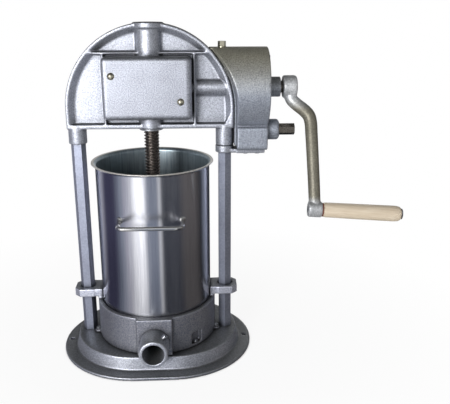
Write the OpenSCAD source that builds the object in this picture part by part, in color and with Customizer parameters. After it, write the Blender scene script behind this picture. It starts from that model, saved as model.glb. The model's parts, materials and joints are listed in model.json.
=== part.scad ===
// Vertical sausage stuffer: cast base and seat, lift-out steel cylinder, two hexagon columns,
// arched head with a gear case, two-speed side gearbox, hand crank, lead screw and piston.
// The origin is on the underside of the base, under the axis of the cylinder.
// +Z is up, +X points to the crank and the outlet points to -Y.

/* [Base] */
// Distance between the centres of the two round ends
base_straight = 70; // [40:1:120]
// Width of the flange outside the raised deck's foot
flange_w = 24; // [15:1:40]
// Thickness of the flange
flange_t = 6; // [4:0.5:10]
// Height of the deck above the table
base_h = 32; // [26:1:50]
// How far the deck reaches past the column axis
deck_margin = 22; // [22:1:40]
// How far the deck's side wall slopes out to its foot
deck_draft = 6; // [2:1:12]
// Thickness of the deck
deck_t = 8; // [6:1:14]
// Thickness of the deck's side wall
base_wall = 8; // [6:1:9]
// Diameter of the two mounting holes
base_hole_d = 9; // [6:0.5:13]
// Distance of a mounting hole from the end of the flange
base_hole_edge = 12; // [9:1:16]

/* [Cylinder and seat] */
// Outside diameter of the cylinder
cyl_od = 217; // [180:1:240]
// Wall of the cylinder
cyl_wall = 2; // [1.5:0.5:4]
// Height of the cylinder
cyl_h = 298.5; // [250:0.5:340]
// How far the flared lip stands out
lip_w = 7.5; // [6:0.5:16]
// Height of the flare
lip_h = 12; // [8:0.5:18]
// Radial clearance of the cylinder in its seat
seat_fit = 0.5; // [0.3:0.1:1]
// Thickness of the seat's wall round the cylinder
seat_wall = 8.5; // [8.5:0.5:14]
// Height of the seat above the deck
seat_h = 75; // [70:1:95]
// Depth of the cylinder in the seat
seat_depth = 21; // [16:1:26]
// Thickness of the seat's floor
seat_floor = 8; // [5:1:12]
// Thickness of the gasket under the cylinder
gasket_t = 2; // [1:0.5:4]
// Half width of the flat pad that holds the outlet
pad_half = 33; // [30:1:40]
// How far the pad stands proud of the seat
pad_proud = 4.5; // [3:0.5:10]
// Thickness of the column lugs
lug_t = 16; // [10:1:24]
// Height of the lugs' underside above the seat
lug_rise = 4; // [2:0.5:10]
// Wall of a lug round its column
lug_wall = 10; // [6:0.5:14]
// Width of a screw pocket at the foot of the seat
pocket_w = 25; // [18:1:32]
// Height of a screw pocket
pocket_h = 24; // [18:1:28]

/* [Outlet] */
// Outside diameter of the outlet pipe
outlet_od = 54; // [48:1:58]
// Bore of the outlet pipe
outlet_id = 40; // [30:1:42]
// Length of the outlet pipe in front of the pad
outlet_len = 48; // [35:1:80]
// Height of the outlet axis above the deck
outlet_rise = 30; // [29.5:0.5:34]

/* [Wire handle] */
// Rod diameter of the wire handle
wire_d = 8; // [5:0.5:12]
// Length of the handle between the centres of its legs
wire_span = 114; // [90:1:140]
// Distance of the bar from the wall of the cylinder
wire_off = 30; // [22:1:60]
// Height of the handle above the foot of the cylinder
wire_rise = 208; // [120:1:250]

/* [Columns] */
// Width across flats of the columns
column_af = 24; // [18:1:26]
// Room between the lip and a column
column_gap = 8.15; // [5:0.05:15]
// Spigot diameter at both ends of a column
spigot_d = 16; // [12:1:18]
// Length of the upper spigot
spigot_len = 34; // [24:1:40]
// Turn of the right column about its axis
right_turn = 30; // [0:5:55]

/* [Head] */
// Height of the head's underside above the lip
head_gap = 62.5; // [60:0.5:90]
// Height of the straight legs of the arch
leg_h = 36; // [30:1:60]
// Depth of the arch, front to back
rim_depth = 32; // [26:1:40]
// Thickness of the arch at its front and rear edges
rim_edge = 6; // [4:0.5:10]
// Thickness of the arch at the web
rim_root = 15; // [11:0.5:22]
// Thickness of the web
web_t = 8; // [5:0.5:12]
// Thickness of the cross member
cross_t = 8.5; // [6:0.5:14]
// Diameter of the column sockets
socket_d = 34; // [31:0.5:40]
// Length of the left socket under the head
socket_left = 29; // [24:1:40]
// Length of the right socket under the head
socket_right = 34; // [30:1:44]
// Diameter of the vertical boss over the gear case
top_boss_d = 47; // [45:0.5:56]
// Diameter of the tube round the drive shaft
tube_d = 30; // [28:0.5:40]
// Diameter of the boss under the gear case
low_boss_d = 44; // [43:0.5:54]
// Thickness of the stiffening ribs
rib_t = 3.5; // [3:0.5:8]
// Height of the ribs in front of the web
rib_h = 12; // [6:1:14]
// Height of the drive shaft above the head's underside
drive_rise = 74.5; // [72:0.5:80]

/* [Gear case] */
// Width of the gear case
case_w = 156; // [140:1:166]
// Height of the gear case
case_h = 108; // [104:1:114]
// Shift of the gear case from the screw axis
case_shift = -3; // [-6:0.5:0]
// Wall of the gear case
case_wall = 7; // [5:0.5:9]
// Distance of the case's front edge from the screw axis
case_front = 22; // [21.5:0.5:30]
// Distance of the case's rear face from the screw axis
case_rear = 48; // [46:0.5:60]
// Depth of the cover in front of the case
cover_depth = 26; // [24:0.5:40]
// How far the cover stands over the case's edge
cover_lip = 2; // [0.5:0.5:4]
// Radius of the cover's rounded edges
cover_round = 9; // [5:0.5:12]

/* [Gearbox] */
// Module of the spur gears
gear_m = 2; // [2:0.1:2.2]
// Teeth of the large spur gear
gear_teeth = 62; // [58:1:64]
// Teeth of the pinion
pinion_teeth = 18; // [16:1:20]
// Face width of the large spur gear
gear_w = 22; // [14:1:26]
// Wall of the gearbox round the large gear
box_wall = 7.5; // [6:0.5:12]
// Half width of the gearbox's lower part, and its reach below the pinion
lobe_r = 34; // [30:0.5:36]
// Gap between the arch and the gearbox
box_gap = 5; // [3:0.5:8]
// Length of the gear chamber
chamber_len = 36; // [34:1:60]
// Thickness of the gearbox wall on the side of the head
box_back = 12; // [12:0.5:20]
// Thickness of the gearbox cover
box_cover_t = 9; // [8:0.5:16]
// Length of the drive shaft's boss
drive_boss_len = 24.5; // [16:0.5:30]
// Length of the slow shaft's boss
slow_boss_len = 24; // [16:0.5:30]
// Thickness of the support plate
support_t = 8; // [5:0.5:12]

/* [Shafts and crank] */
// Diameter of the shafts inside the gearbox
shaft_d = 18; // [16:0.5:20]
// Diameter of the shafts in the outer bushes
journal_d = 22; // [21.95:0.05:24]
// Width across flats of the hexagon ends
hex_af = 19; // [15:0.5:19]
// Length of the hexagon ends
hex_len = 27; // [22:1:40]
// Diameter of the crank hub
hub_d = 42; // [38:1:50]
// Length of the crank arm, from axis to eye
crank_r = 230; // [180:1:260]
// Diameter of the crank arm
arm_d = 21; // [16:0.5:24]
// How far the arm bends out before it runs down
arm_out = 37.5; // [30:0.5:50]
// How far the arm leans out along its length
arm_lean = 4.5; // [0:0.5:12]
// Turn of the crank towards the front
crank_turn = 20; // [0:1:60]
// Droop of the grip axis
grip_droop = 4; // [0:0.5:6]
// Length of the wooden grip
grip_len = 145; // [100:1:160]
// Largest diameter of the wooden grip
grip_d = 29.5; // [24:0.5:36]
// Diameter of the grip spindle
spindle_d = 10; // [8:0.5:12]

/* [Screw and piston] */
// Outside diameter of the lead screw
screw_d = 28; // [24:0.5:29]
// Spacing of the thread crests
thread_pitch = 6; // [4:0.5:8]
// Depth of the thread
thread_depth = 2.5; // [1.5:0.1:3]
// Outside diameter of the rotating nut
nut_d = 36; // [35:0.25:36]
// Thickness of the piston plate
piston_t = 22; // [18:1:30]
// Radial clearance of the piston plate in the cylinder
piston_fit = 0.6; // [0.4:0.1:1.2]
// Height of the lowered piston above the foot of the cylinder
piston_rest = 4; // [2:0.5:20]
// Module of the bevel gears
bevel_m = 3.5; // [3.3:0.05:3.55]
// Teeth of each bevel gear
bevel_teeth = 20; // [20:2:20]

/* [Fits] */
// Radial clearance of a shaft in its bush
run_fit = 0.05; // [0.02:0.01:0.1]
// Radial clearance of a screw or pin in a plain hole
hole_fit = 0.2; // [0.1:0.05:0.4]
// Clearance between a piece that moves and its neighbour
move_fit = 0.3; // [0.2:0.05:0.6]

/* [Hidden] */
$fn = 96;
eps = 1;
big = 400;

// Paint and metals
cast_grey = [0.62, 0.63, 0.67];
dark_cast = [0.50, 0.51, 0.55];
steel = [0.72, 0.73, 0.75];
bright = [0.82, 0.83, 0.85];
dark_steel = [0.36, 0.33, 0.31];
bronze = [0.72, 0.55, 0.33];
brass = [0.83, 0.74, 0.52];
rubber = [0.20, 0.20, 0.21];
wood = [0.88, 0.80, 0.67];
fibre = [0.55, 0.27, 0.20];

// Radii of the cylinder and its seat
cyl_r = cyl_od / 2;
bore_r = cyl_r - cyl_wall;
bowl_r = bore_r - 1;
lip_r = cyl_r + lip_w;
seat_in_r = cyl_r + seat_fit;
seat_r = seat_in_r + seat_wall;

// Heights from the table up
seat_top = base_h + seat_h;
cyl_z = seat_top - seat_depth;
ledge_z = cyl_z - gasket_t;
lip_z = cyl_z + cyl_h;
head_z = lip_z + head_gap;
arch_z = head_z + leg_h;
drive_z = head_z + drive_rise;
gear_r = gear_m * gear_teeth / 2;
pinion_r = gear_m * pinion_teeth / 2;
slow_z = drive_z - gear_r - pinion_r;
outlet_z = base_h + outlet_rise;

// Columns, arch and base
hex_corner = 1 / cos(30);
column_r = column_af / 2 * hex_corner;
column_x = lip_r + column_gap + column_r;
socket_r = socket_d / 2;
arch_r = column_x + socket_r;
arch_top = arch_z + arch_r;
deck_r = column_x + deck_margin - base_straight / 2;
foot_r = deck_r + deck_draft;
flange_r = foot_r + flange_w;
half_straight = base_straight / 2;
base_hole_x = half_straight + flange_r - base_hole_edge;
lug_r = column_r + hole_fit + lug_wall;
lug_z = seat_top + lug_rise;
lug_top = lug_z + lug_t;
lug_step = 1;
lug_corner = lug_wall;
left_socket_z = head_z - socket_left;
right_socket_z = head_z - socket_right;
spigot_r = spigot_d / 2;

// Outlet
pad_y = -seat_r - pad_proud;
outlet_r = outlet_od / 2;
outlet_bore = outlet_id / 2;
thread_wall = 4;
outlet_spigot_r = outlet_bore + thread_wall;
outlet_step = 1.5;
outlet_spigot_len = seat_wall + pad_proud - outlet_step;
outlet_chamfer = 3;
pin_angle = 40;
pin_r = 4.5;
pin_rise = 7;
pin_sink = 4;

// Seat screws and their pockets
pocket_angles = [-47, 133];
ear_angles = [-9.5, 189.5];
pocket_floor = 6;
pocket_wall = 3;
seat_screw_d = 5;
cap_r = seat_screw_d * 0.83;
cap_h = 4;
pocket_r = bowl_r + pocket_wall + cap_r + 2 * hole_fit;
ear_r = seat_screw_d * 1.3;
ear_at = seat_r + ear_r * 0.6;
screw_spots = concat([for (a = pocket_angles) [pocket_r, a]], [for (a = ear_angles) [ear_at, a]]);
seat_thread = deck_t - 2;

// Fasteners of the columns
nut_t = 9;
washer_t = 2;
washer_r = spigot_r * 1.5;
set_screw_d = 6;
set_screw_len = 8;

// Arch
rim_half = rim_depth / 2;
web_half = web_t / 2;
cap_ring_r = top_boss_d / 2 + 4;
cap_ring_h = 10;
gusset_w = 12;
gusset_h = 26;
gusset_half = rim_half - 1;
rib_z_gap = 5;

// Gear case
case_z = drive_z + 2.5;
case_x0 = case_shift - case_w / 2;
case_x1 = case_shift + case_w / 2;
case_low = case_z - case_h / 2;
case_high = case_z + case_h / 2;
room_low = case_low + case_wall;
room_high = case_high - case_wall;
case_round = 6;
room_round = 4;
rear_wall = 6;
cover_y = -case_front - cover_depth;
cover_wall = 5;
cover_screw_d = 6;
post_r = 7;
cover_screw_edge_x = 18;
cover_screw_edge_z = 31;
cover_screws_at = [
    [case_x0 + cover_screw_edge_x - cover_lip, case_high - cover_screw_edge_z],
    [case_x1 - cover_screw_edge_x, case_low + cover_screw_edge_z]];
cover_thread = 16;

// Rotating nut and what carries it
screw_r = screw_d / 2;
nut_r = nut_d / 2;
bevel_r = bevel_m * bevel_teeth / 2;
bevel_face = 9;
bevel_add = 0.75 * bevel_m;
bevel_ded = 1.3 * bevel_m;
bevel_play = 0.8;
bevel_hub_r = nut_r + 8;
bush_wall = 2.5;
upper_bush_r = nut_r + run_fit + bush_wall;
upper_bush_len = 28;
bearing_r = nut_r + run_fit + 2;
bearing_lip_r = screw_r + 1;
bearing_flange_r = low_boss_d / 2;
bearing_flange_t = 3;
bearing_lip_t = 5;
bearing_top = room_low + 3;
bearing_low = head_z - bearing_flange_t;
nut_low = bearing_low + bearing_lip_t + move_fit;
nut_high = room_high + upper_bush_len;
bevel_z = drive_z + bevel_r;
thrust_t = 4;
thrust_r = bevel_hub_r + 4;
gear_back = room_high - thrust_t - move_fit;
guide_len = 16;
guide_high = arch_top - 10;
guide_low = guide_high - guide_len;
key_w = 6;
key_fit = 0.3;
keyway_d = 3.5;
nut_key_d = 2;

// Gearbox from the arch outwards
box_r = gear_r + gear_m + 1.5 + box_wall;
chamber_r = box_r - box_wall;
chamber_lobe_r = pinion_r + gear_m + 2;
box_x0 = arch_r + box_gap;
chamber_x = box_x0 + box_back;
box_x1 = chamber_x + chamber_len;
box_x2 = box_x1 + box_cover_t;
drive_boss_x = box_x2 + drive_boss_len;
slow_boss_x = box_x2 + slow_boss_len;
pad_half_y = rim_half - 3;
arch_fit = 0.3;
lobe_top = 11;
lobe_round = 7;
gear_x = chamber_x + (chamber_len - gear_w) / 2;
pinion_w = gear_w + 4;
pinion_x = gear_x - 2;
gear_play = 0.35;
tooth_add = 0.95;
tooth_ded = 1.25;
shaft_r = shaft_d / 2;
journal_r = journal_d / 2;
hex_r = hex_af / 2 * hex_corner;
inner_bush_wall = 3;
outer_bush_wall = 3;
outer_bush_r = journal_r + run_fit + outer_bush_wall;
inner_bush_r = shaft_r + run_fit + inner_bush_wall;
inner_bush_len = box_back - 2;
drive_boss_r = outer_bush_r + 4.5;
slow_boss_r = outer_bush_r + 5.5;
boss_chamfer = 4;
box_screw_d = 4;
box_screw_angles = [10, 55, 125, 170];
box_screw_ring = box_r - box_wall / 2;
box_screw_len = 22;
support_z = slow_z - lobe_r - support_t;
support_x1 = box_x2 - 4;
collar_r = socket_r + 0.5;
collar_wall_fit = hole_fit;
support_half = 20;
support_screw_d = 6;
support_screws_at = [chamber_x + 6, box_x1 - 8];
support_thread = 8;
bolt_x = column_x - 5;
bolt_d = 8;
bolt_af = 13;
bolt_head_h = 9;
bolt_washer_r = 8;
bolt_seat_z = drive_z + box_r - 1.5;
bolt_washer_t = 2.5;
bolt_arch_z = arch_z + sqrt(arch_r * arch_r - bolt_x * bolt_x);
bolt_thread = 10;

// Drive shaft
pinion_hub_r = 13;
pinion_hub_len = 23;
pinion_hub_x = bevel_r + pinion_hub_len;
shaft_start = bevel_r - bevel_face + 1;
case_bush_x0 = pinion_hub_x + move_fit;
case_bush_len = 34;
case_bush_x1 = case_bush_x0 + case_bush_len;
journal_x = box_x1 - 4;
hex_x = drive_boss_x + 3.5;
slow_hex_x = slow_boss_x + 0.5;
slow_hex_len = hex_len + 2;
slow_start = chamber_x - inner_bush_len;
pin_d = 5;
hex_fit = 0.15;

// Crank
hub_r = hub_d / 2;
hub_x0 = hex_x + 1;
hub_x1 = hub_x0 + hex_len;
arm_r = arm_d / 2;
hub_mid = (hub_x0 + hub_x1) / 2;
bend_x = hub_mid + arm_out;
bend_drop = 62;
joint_swell = 0.5;
eye_x = bend_x + arm_lean;
eye_r = 14.5;
eye_half = 13;
grip_washer_t = 2;
spindle_r = spindle_d / 2;
grip_x0 = eye_half + grip_washer_t + move_fit;
grip_x1 = grip_x0 + grip_len;
grip_r = grip_d / 2;
grip_neck = 1;
grip_edge = 4;
grip_bore = spindle_r + move_fit;
cap_gap = move_fit;
grip_cap_t = 3;
grip_cap_r = 10;

// Piston and screw
piston_r = bore_r - piston_fit;
piston_z = cyl_z + piston_rest;
piston_top = piston_z + piston_t;
piston_boss_r = 25;
piston_boss_h = 10;
piston_boss_top = piston_top + piston_boss_h;
piston_recess = 14;
seal_h = 8;
seal_depth = 5;
seal_fit = 0.1;
screw_spigot_r = 9;
screw_top = arch_top - 10;
screw_root = screw_r - thread_depth;
thread_z0 = piston_boss_top + 6;
thread_count = floor((screw_top - thread_z0 - 6) / thread_pitch);
screw_bore = screw_r + move_fit;
valve_x = 60;
valve_r = 7;
valve_head_r = 11;
valve_head_h = 6;
nut_af = 30;

// Cylinder along X, from x0 to x1, at height z
module bar_x(r, x0, x1, z = 0, y = 0) {
    translate([x0, y, z])
        rotate([0, 90, 0])
            cylinder(r = r, h = x1 - x0);
}

// Cylinder along Y, from y0 to y1
module bar_y(r, y0, y1, x, z) {
    translate([x, y0, z])
        rotate([-90, 0, 0])
            cylinder(r = r, h = y1 - y0);
}

// Cylinder along Z, from z0 to z1
module bar_z(r, z0, z1, x = 0, y = 0) {
    translate([x, y, z0])
        cylinder(r = r, h = z1 - z0);
}

// Hexagon bar along Z with a flat to the front when turn is 0
module hex_z(af, z0, z1, x = 0, y = 0, turn = 0) {
    translate([x, y, z0])
        rotate([0, 0, turn])
            cylinder(r = af / 2 * hex_corner, h = z1 - z0, $fn = 6);
}

// Hexagon bar along X with flats to the front and rear
module hex_x_bar(af, x0, x1, z) {
    translate([x0, 0, z])
        rotate([0, 90, 0])
            cylinder(r = af / 2 * hex_corner, h = x1 - x0, $fn = 6);
}

// Box from its lowest to its highest corner
module block(low, high) {
    translate(low)
        cube(high - low);
}

// Rounded rectangle round the origin
module rounded(w, h, r) {
    square([w - 2 * r, h], center = true);
    square([w, h - 2 * r], center = true);
    for (sx = [-1, 1], sy = [-1, 1])
        translate([sx * (w / 2 - r), sy * (h / 2 - r)])
            circle(r = r);
}

// Rounded box whose outline lies in XZ, from y0 to y1
module rounded_box(w, h, r, y0, y1, x, z) {
    translate([x, y1, z])
        rotate([90, 0, 0])
            linear_extrude(y1 - y0)
                rounded(w, h, r);
}

// Oval with two round ends
module oval(r) {
    for (s = [-1, 1])
        translate([s * half_straight, 0])
            circle(r = r);
    square([base_straight, 2 * r], center = true);
}

// Oval body whose side slopes from r0 at z0 to r1 at z1
module oval_frustum(r0, r1, z0, z1) {
    for (s = [-1, 1])
        translate([s * half_straight, 0, z0])
            cylinder(r1 = r0, r2 = r1, h = z1 - z0);
    translate([half_straight, 0, 0])
        rotate([90, 0, -90])
            linear_extrude(base_straight)
                polygon([[-r0, z0], [r0, z0], [r1, z1], [-r1, z1]]);
}

// Point on an involute of a base circle, at roll angle t
function involute(rb, t) = [
    rb * (cos(t) + t * PI / 180 * sin(t)),
    rb * (sin(t) - t * PI / 180 * cos(t))];
// Roll angle at which the involute reaches radius r
function roll_at(rb, r) = sqrt(max(0, r * r / rb / rb - 1)) * 180 / PI;
// Angle of a point, and a point turned about the origin
function angle_of(p) = atan2(p[1], p[0]);
function turned(p, a) = [p[0] * cos(a) - p[1] * sin(a), p[0] * sin(a) + p[1] * cos(a)];

flank_steps = 4;
pressure = 25;

// Outline of a spur gear with a tooth centred on +X
module gear_outline(teeth, m, add, ded, play) {
    rp = m * teeth / 2;
    rb = rp * cos(pressure);
    ra = rp + add;
    rd = rp - ded;
    t0 = roll_at(rb, max(rb, rd));
    t1 = roll_at(rb, ra);
    half = 90 / teeth - play / rp * 90 / PI + angle_of(involute(rb, roll_at(rb, rp)));
    flank = [for (i = [0:flank_steps]) turned(involute(rb, t0 + (t1 - t0) * i / flank_steps), -half)];
    foot = rd < rb ? [turned([rd, 0], -half)] : [];
    side = concat(foot, flank);
    n = len(side);
    tooth = concat(side, [for (i = [1:n]) [side[n - i][0], -side[n - i][1]]]);
    polygon([for (k = [0:teeth - 1]) for (p = tooth) turned(p, k * 360 / teeth)]);
}

// Bevel teeth on +Z, narrowing upwards to a point one pitch radius above
module bevel_teeth_body() {
    linear_extrude(bevel_face, scale = (bevel_r - bevel_face) / bevel_r)
        gear_outline(bevel_teeth, bevel_m, bevel_add, bevel_ded, bevel_play);
}

// Outline of the gearbox in YZ: large circle and square lower part
module box_outline() {
    translate([drive_z, 0])
        circle(r = box_r);
    translate([slow_z + (lobe_top - lobe_r) / 2, 0])
        rounded(lobe_top + lobe_r, 2 * lobe_r, lobe_round);
}

// Room for both gears
module chamber_outline() {
    translate([drive_z, 0])
        circle(r = chamber_r);
    translate([slow_z, 0])
        circle(r = chamber_lobe_r);
}

// Outline in YZ, extruded from x0 to x1
module along_x(x0, x1) {
    translate([x1, 0, 0])
        rotate([0, -90, 0])
            linear_extrude(x1 - x0)
                children();
}

module base_plate() {
    color(cast_grey)
        difference() {
            union() {
                linear_extrude(flange_t)
                    oval(flange_r);
                oval_frustum(foot_r, deck_r, 0, base_h);
            }
            translate([0, 0, -eps])
                linear_extrude(2 * eps)
                    oval(foot_r - base_wall);
            oval_frustum(foot_r - base_wall, deck_r - base_wall, 0, base_h - deck_t);
            for (s = [-1, 1]) {
                bar_z(base_hole_d / 2, -eps, flange_t + eps, s * base_hole_x);
                bar_z(spigot_r + hole_fit, 0, base_h + eps, s * column_x);
            }
            for (p = screw_spots)
                rotate([0, 0, p[1]])
                    bar_z(seat_screw_d / 2, base_h - seat_thread, base_h + eps, p[0]);
        }
}

// Block round a column with cut corners
module lug_outline() {
    flat = lug_r - lug_corner;
    polygon([[-lug_r, -flat], [-flat, -lug_r], [flat, -lug_r], [lug_r, -flat],
        [lug_r, flat], [flat, lug_r], [-flat, lug_r], [-lug_r, flat]]);
}

// Lugs that hold the seat to the columns, with the raised cheeks that carry them
module seat_lugs() {
    for (s = [-1, 1]) {
        translate([0, 0, lug_z])
            linear_extrude(lug_t) {
                translate([s * column_x, 0])
                    lug_outline();
                translate([s * (column_x + seat_in_r) / 2, 0])
                    square([column_x - seat_in_r, 2 * (lug_r - lug_step)], center = true);
            }
        intersection() {
            bar_z(seat_r, seat_top - lug_t, lug_top);
            translate([s * seat_r, 0, 0])
                block([-seat_r / 2, -lug_r + lug_step, seat_top - lug_t],
                    [seat_r / 2, lug_r - lug_step, lug_top]);
        }
    }
}

module seat_cup() {
    color(cast_grey)
        difference() {
            union() {
                bar_z(seat_r, base_h, seat_top);
                seat_lugs();
                block([-pad_half, pad_y, base_h], [pad_half, 0, seat_top]);
                for (a = ear_angles)
                    rotate([0, 0, a])
                        bar_z(ear_r, base_h, base_h + pocket_floor, ear_at);
            }
            bar_z(bowl_r, base_h + seat_floor, lug_top + eps);
            bar_z(seat_in_r, ledge_z, lug_top + eps);
            for (s = [-1, 1])
                bar_z(column_r + hole_fit, base_h, lug_top + eps, s * column_x);
            bar_y(outlet_bore + 0.5, pad_y - eps, -bowl_r / 2, 0, outlet_z);
            bar_y(outlet_spigot_r, pad_y - eps, pad_y + outlet_spigot_len, 0, outlet_z);
            for (a = pocket_angles)
                rotate([0, 0, a])
                    block([bowl_r + pocket_wall, -pocket_w / 2, base_h + pocket_floor],
                        [seat_r + eps, pocket_w / 2, base_h + pocket_floor + pocket_h]);
            for (a = ear_angles)
                rotate([0, 0, a])
                    bar_z(cap_r + hole_fit, base_h + pocket_floor, base_h + pocket_floor + cap_h + eps,
                        ear_at);
            for (p = screw_spots)
                rotate([0, 0, p[1]])
                    bar_z(seat_screw_d / 2 + hole_fit, base_h - eps, base_h + pocket_floor + eps, p[0]);
        }
}

module seat_gasket() {
    color(rubber)
        difference() {
            bar_z(cyl_r + seat_fit / 2, ledge_z, cyl_z);
            bar_z(bore_r, ledge_z - eps, cyl_z + eps);
        }
}

module seat_screws() {
    color(bright)
        for (p = screw_spots)
            rotate([0, 0, p[1]]) {
                bar_z(seat_screw_d / 2, base_h - seat_thread, base_h + pocket_floor, p[0]);
                bar_z(cap_r, base_h + pocket_floor, base_h + pocket_floor + cap_h, p[0]);
            }
}

module outlet_pipe() {
    color(cast_grey)
        translate([0, pad_y, outlet_z])
            rotate([90, 0, 0])
                difference() {
                    rotate_extrude()
                        polygon([[outlet_bore, -outlet_spigot_len], [outlet_spigot_r, -outlet_spigot_len],
                            [outlet_spigot_r, 0], [outlet_r, 0], [outlet_r, outlet_len - outlet_chamfer],
                            [outlet_r - outlet_chamfer, outlet_len], [outlet_bore, outlet_len]]);
                    rotate([0, 0, -pin_angle])
                        bar_y(pin_r, outlet_r - pin_sink, outlet_r + eps, 0, outlet_len / 2);
                }
}

module outlet_pin() {
    color(bright)
        translate([0, pad_y - outlet_len / 2, outlet_z])
            rotate([0, pin_angle, 0])
                bar_z(pin_r, outlet_r - pin_sink, outlet_r + pin_rise);
}

// Column from the deck to the end of its socket
module column(x, top, turn) {
    hex_z(column_af, base_h, top, x, 0, turn);
    bar_z(spigot_r, top - eps, top + spigot_len, x);
    bar_z(spigot_r, base_h - deck_t - washer_t - nut_t - 2, base_h + eps, x);
}

module left_column() {
    color(steel)
        column(-column_x, left_socket_z, 0);
}

module right_column() {
    color(steel)
        column(column_x, right_socket_z, right_turn);
}

module column_nuts() {
    color(bright)
        for (s = [-1, 1])
            difference() {
                hex_z(spigot_d * 1.5, base_h - deck_t - washer_t - nut_t, base_h - deck_t - washer_t,
                    s * column_x, 0, 30);
                bar_z(spigot_r, 0, base_h, s * column_x);
            }
}

module column_washers() {
    color(bright)
        for (s = [-1, 1])
            difference() {
                bar_z(washer_r, base_h - deck_t - washer_t, base_h - deck_t, s * column_x);
                bar_z(spigot_r + hole_fit, 0, base_h, s * column_x);
            }
}

// Height of a column's set screw, in the middle of its spigot
function set_screw_z(s) = (s < 0 ? left_socket_z : right_socket_z) + spigot_len / 2;

module column_set_screws() {
    color(dark_steel)
        for (s = [-1, 1])
            bar_y(set_screw_d / 2, spigot_r + hole_fit, spigot_r + hole_fit + set_screw_len,
                s * column_x, set_screw_z(s));
}

// Section of the arch: radius against depth
rim_section = [[arch_r, -rim_half], [arch_r, rim_half], [arch_r - rim_edge, rim_half],
    [arch_r - rim_root, web_half], [arch_r - rim_root, -web_half], [arch_r - rim_edge, -rim_half]];

// Arch with its two legs
module head_rim() {
    translate([0, 0, arch_z])
        rotate([90, 0, 0])
            rotate_extrude(angle = 180)
                polygon(rim_section);
    for (s = [0, 1])
        mirror([s, 0, 0])
            translate([0, 0, head_z])
                linear_extrude(leg_h)
                    polygon(rim_section);
}

// Web, cross member, ribs and sockets
module head_frame() {
    inner = arch_r - rim_edge;
    rib_z = case_high + rib_z_gap;
    rib_half = sqrt(inner * inner - pow(rib_z + rib_t - arch_z, 2));
    intersection() {
        bar_y(inner, -web_half, web_half, 0, arch_z);
        block([-big, -big, head_z], [big, big, arch_top]);
    }
    block([-inner, -rim_half, head_z], [inner, rim_half, head_z + cross_t]);
    block([-rib_half, -web_half - rib_h, rib_z], [rib_half, 0, rib_z + rib_t]);
    for (x = [case_x0 - rib_t, case_x1 + cover_lip + rib_t])
        block([x, -web_half - rib_h, head_z + eps], [x + rib_t, 0, rib_z + eps]);
    bar_z(socket_r, left_socket_z, head_z + cross_t / 2, -column_x);
    bar_z(socket_r, right_socket_z, head_z + cross_t / 2, column_x);
    translate([inner + eps, gusset_half, head_z + cross_t - eps])
        rotate([90, 0, 0])
            linear_extrude(2 * gusset_half)
                polygon([[0, 0], [0, gusset_h], [-gusset_w, 0]]);
}

// Gear case with the bosses for the screw and the drive shaft
module head_case() {
    rounded_box(case_w, case_h, case_round, -case_front, case_rear, case_shift, case_z);
    bar_z(top_boss_d / 2, case_high - eps, arch_top - rim_edge);
    bar_z(cap_ring_r, arch_top - cap_ring_h, arch_top);
    bar_z(low_boss_d / 2, head_z, case_low + eps);
    intersection() {
        bar_x(tube_d / 2, case_x1 - case_wall, arch_r, drive_z);
        bar_y(arch_r - rim_edge / 2, -rim_half, rim_half, 0, arch_z);
    }
}

module head_casting() {
    color(cast_grey)
        difference() {
            union() {
                head_rim();
                head_frame();
                head_case();
            }
            difference() {
                rounded_box(case_w - 2 * case_wall, case_h - 2 * case_wall, room_round,
                    -case_front - eps, case_rear - rear_wall, case_shift, case_z);
                for (p = cover_screws_at)
                    bar_y(post_r, -case_front, case_rear, p[0], p[1]);
            }
            for (p = cover_screws_at)
                bar_y(cover_screw_d / 2, -case_front - eps, -case_front + cover_thread, p[0], p[1]);
            block([case_x0 - cover_lip - hole_fit, -big, case_low - cover_lip - hole_fit],
                [case_x1 + cover_lip + hole_fit, -case_front, case_high + cover_lip + hole_fit]);
            bar_z(bearing_r, head_z - eps, room_low + eps);
            bar_z(upper_bush_r, room_high - eps, guide_high);
            bar_z(screw_bore + hole_fit, guide_high - eps, arch_top + eps);
            bar_x(inner_bush_r, case_x1 - case_wall - eps, case_bush_x1, drive_z);
            bar_x(shaft_r + move_fit, case_bush_x1 - eps, arch_r + eps, drive_z);
            for (s = [-1, 1]) {
                z0 = s < 0 ? left_socket_z : right_socket_z;
                bar_z(spigot_r + hole_fit, z0 - eps, z0 + spigot_len + eps, s * column_x);
                bar_y(set_screw_d / 2, 0, big, s * column_x, set_screw_z(s));
            }
            bar_z(bolt_d / 2, bolt_arch_z - bolt_thread, bolt_arch_z + bolt_thread, bolt_x);
        }
}

module gear_case_cover() {
    w = case_w + 2 * cover_lip;
    h = case_h + 2 * cover_lip;
    color(cast_grey)
        difference() {
            translate([case_shift, 0, case_z])
                hull() {
                    for (sx = [-1, 1], sz = [-1, 1])
                        translate([sx * (w / 2 - cover_round), cover_y + cover_round,
                            sz * (h / 2 - cover_round)]) {
                            sphere(r = cover_round, $fn = 32);
                            rotate([-90, 0, 0])
                                cylinder(r = cover_round, h = cover_depth - cover_round, $fn = 32);
                        }
                }
            difference() {
                rounded_box(case_w - 2 * case_wall, case_h - 2 * case_wall, room_round,
                    cover_y + cover_wall, -case_front + eps, case_shift, case_z);
                for (p = cover_screws_at)
                    bar_y(post_r, cover_y, 0, p[0], p[1]);
            }
            for (p = cover_screws_at)
                bar_y(cover_screw_d / 2 + hole_fit, cover_y - eps, 0, p[0], p[1]);
        }
}

module cover_screws() {
    head_r = cover_screw_d * 1.1;
    head_h = cover_screw_d * 0.6;
    color(brass)
        for (p = cover_screws_at) {
            bar_y(cover_screw_d / 2, cover_y, -case_front + cover_thread - eps, p[0], p[1]);
            translate([p[0], cover_y, p[1]])
                rotate([90, 0, 0])
                    rotate_extrude()
                        intersection() {
                            square([head_r, head_h]);
                            translate([0, head_h - head_r * 1.15])
                                circle(r = head_r * 1.15);
                        }
        }
}

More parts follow.
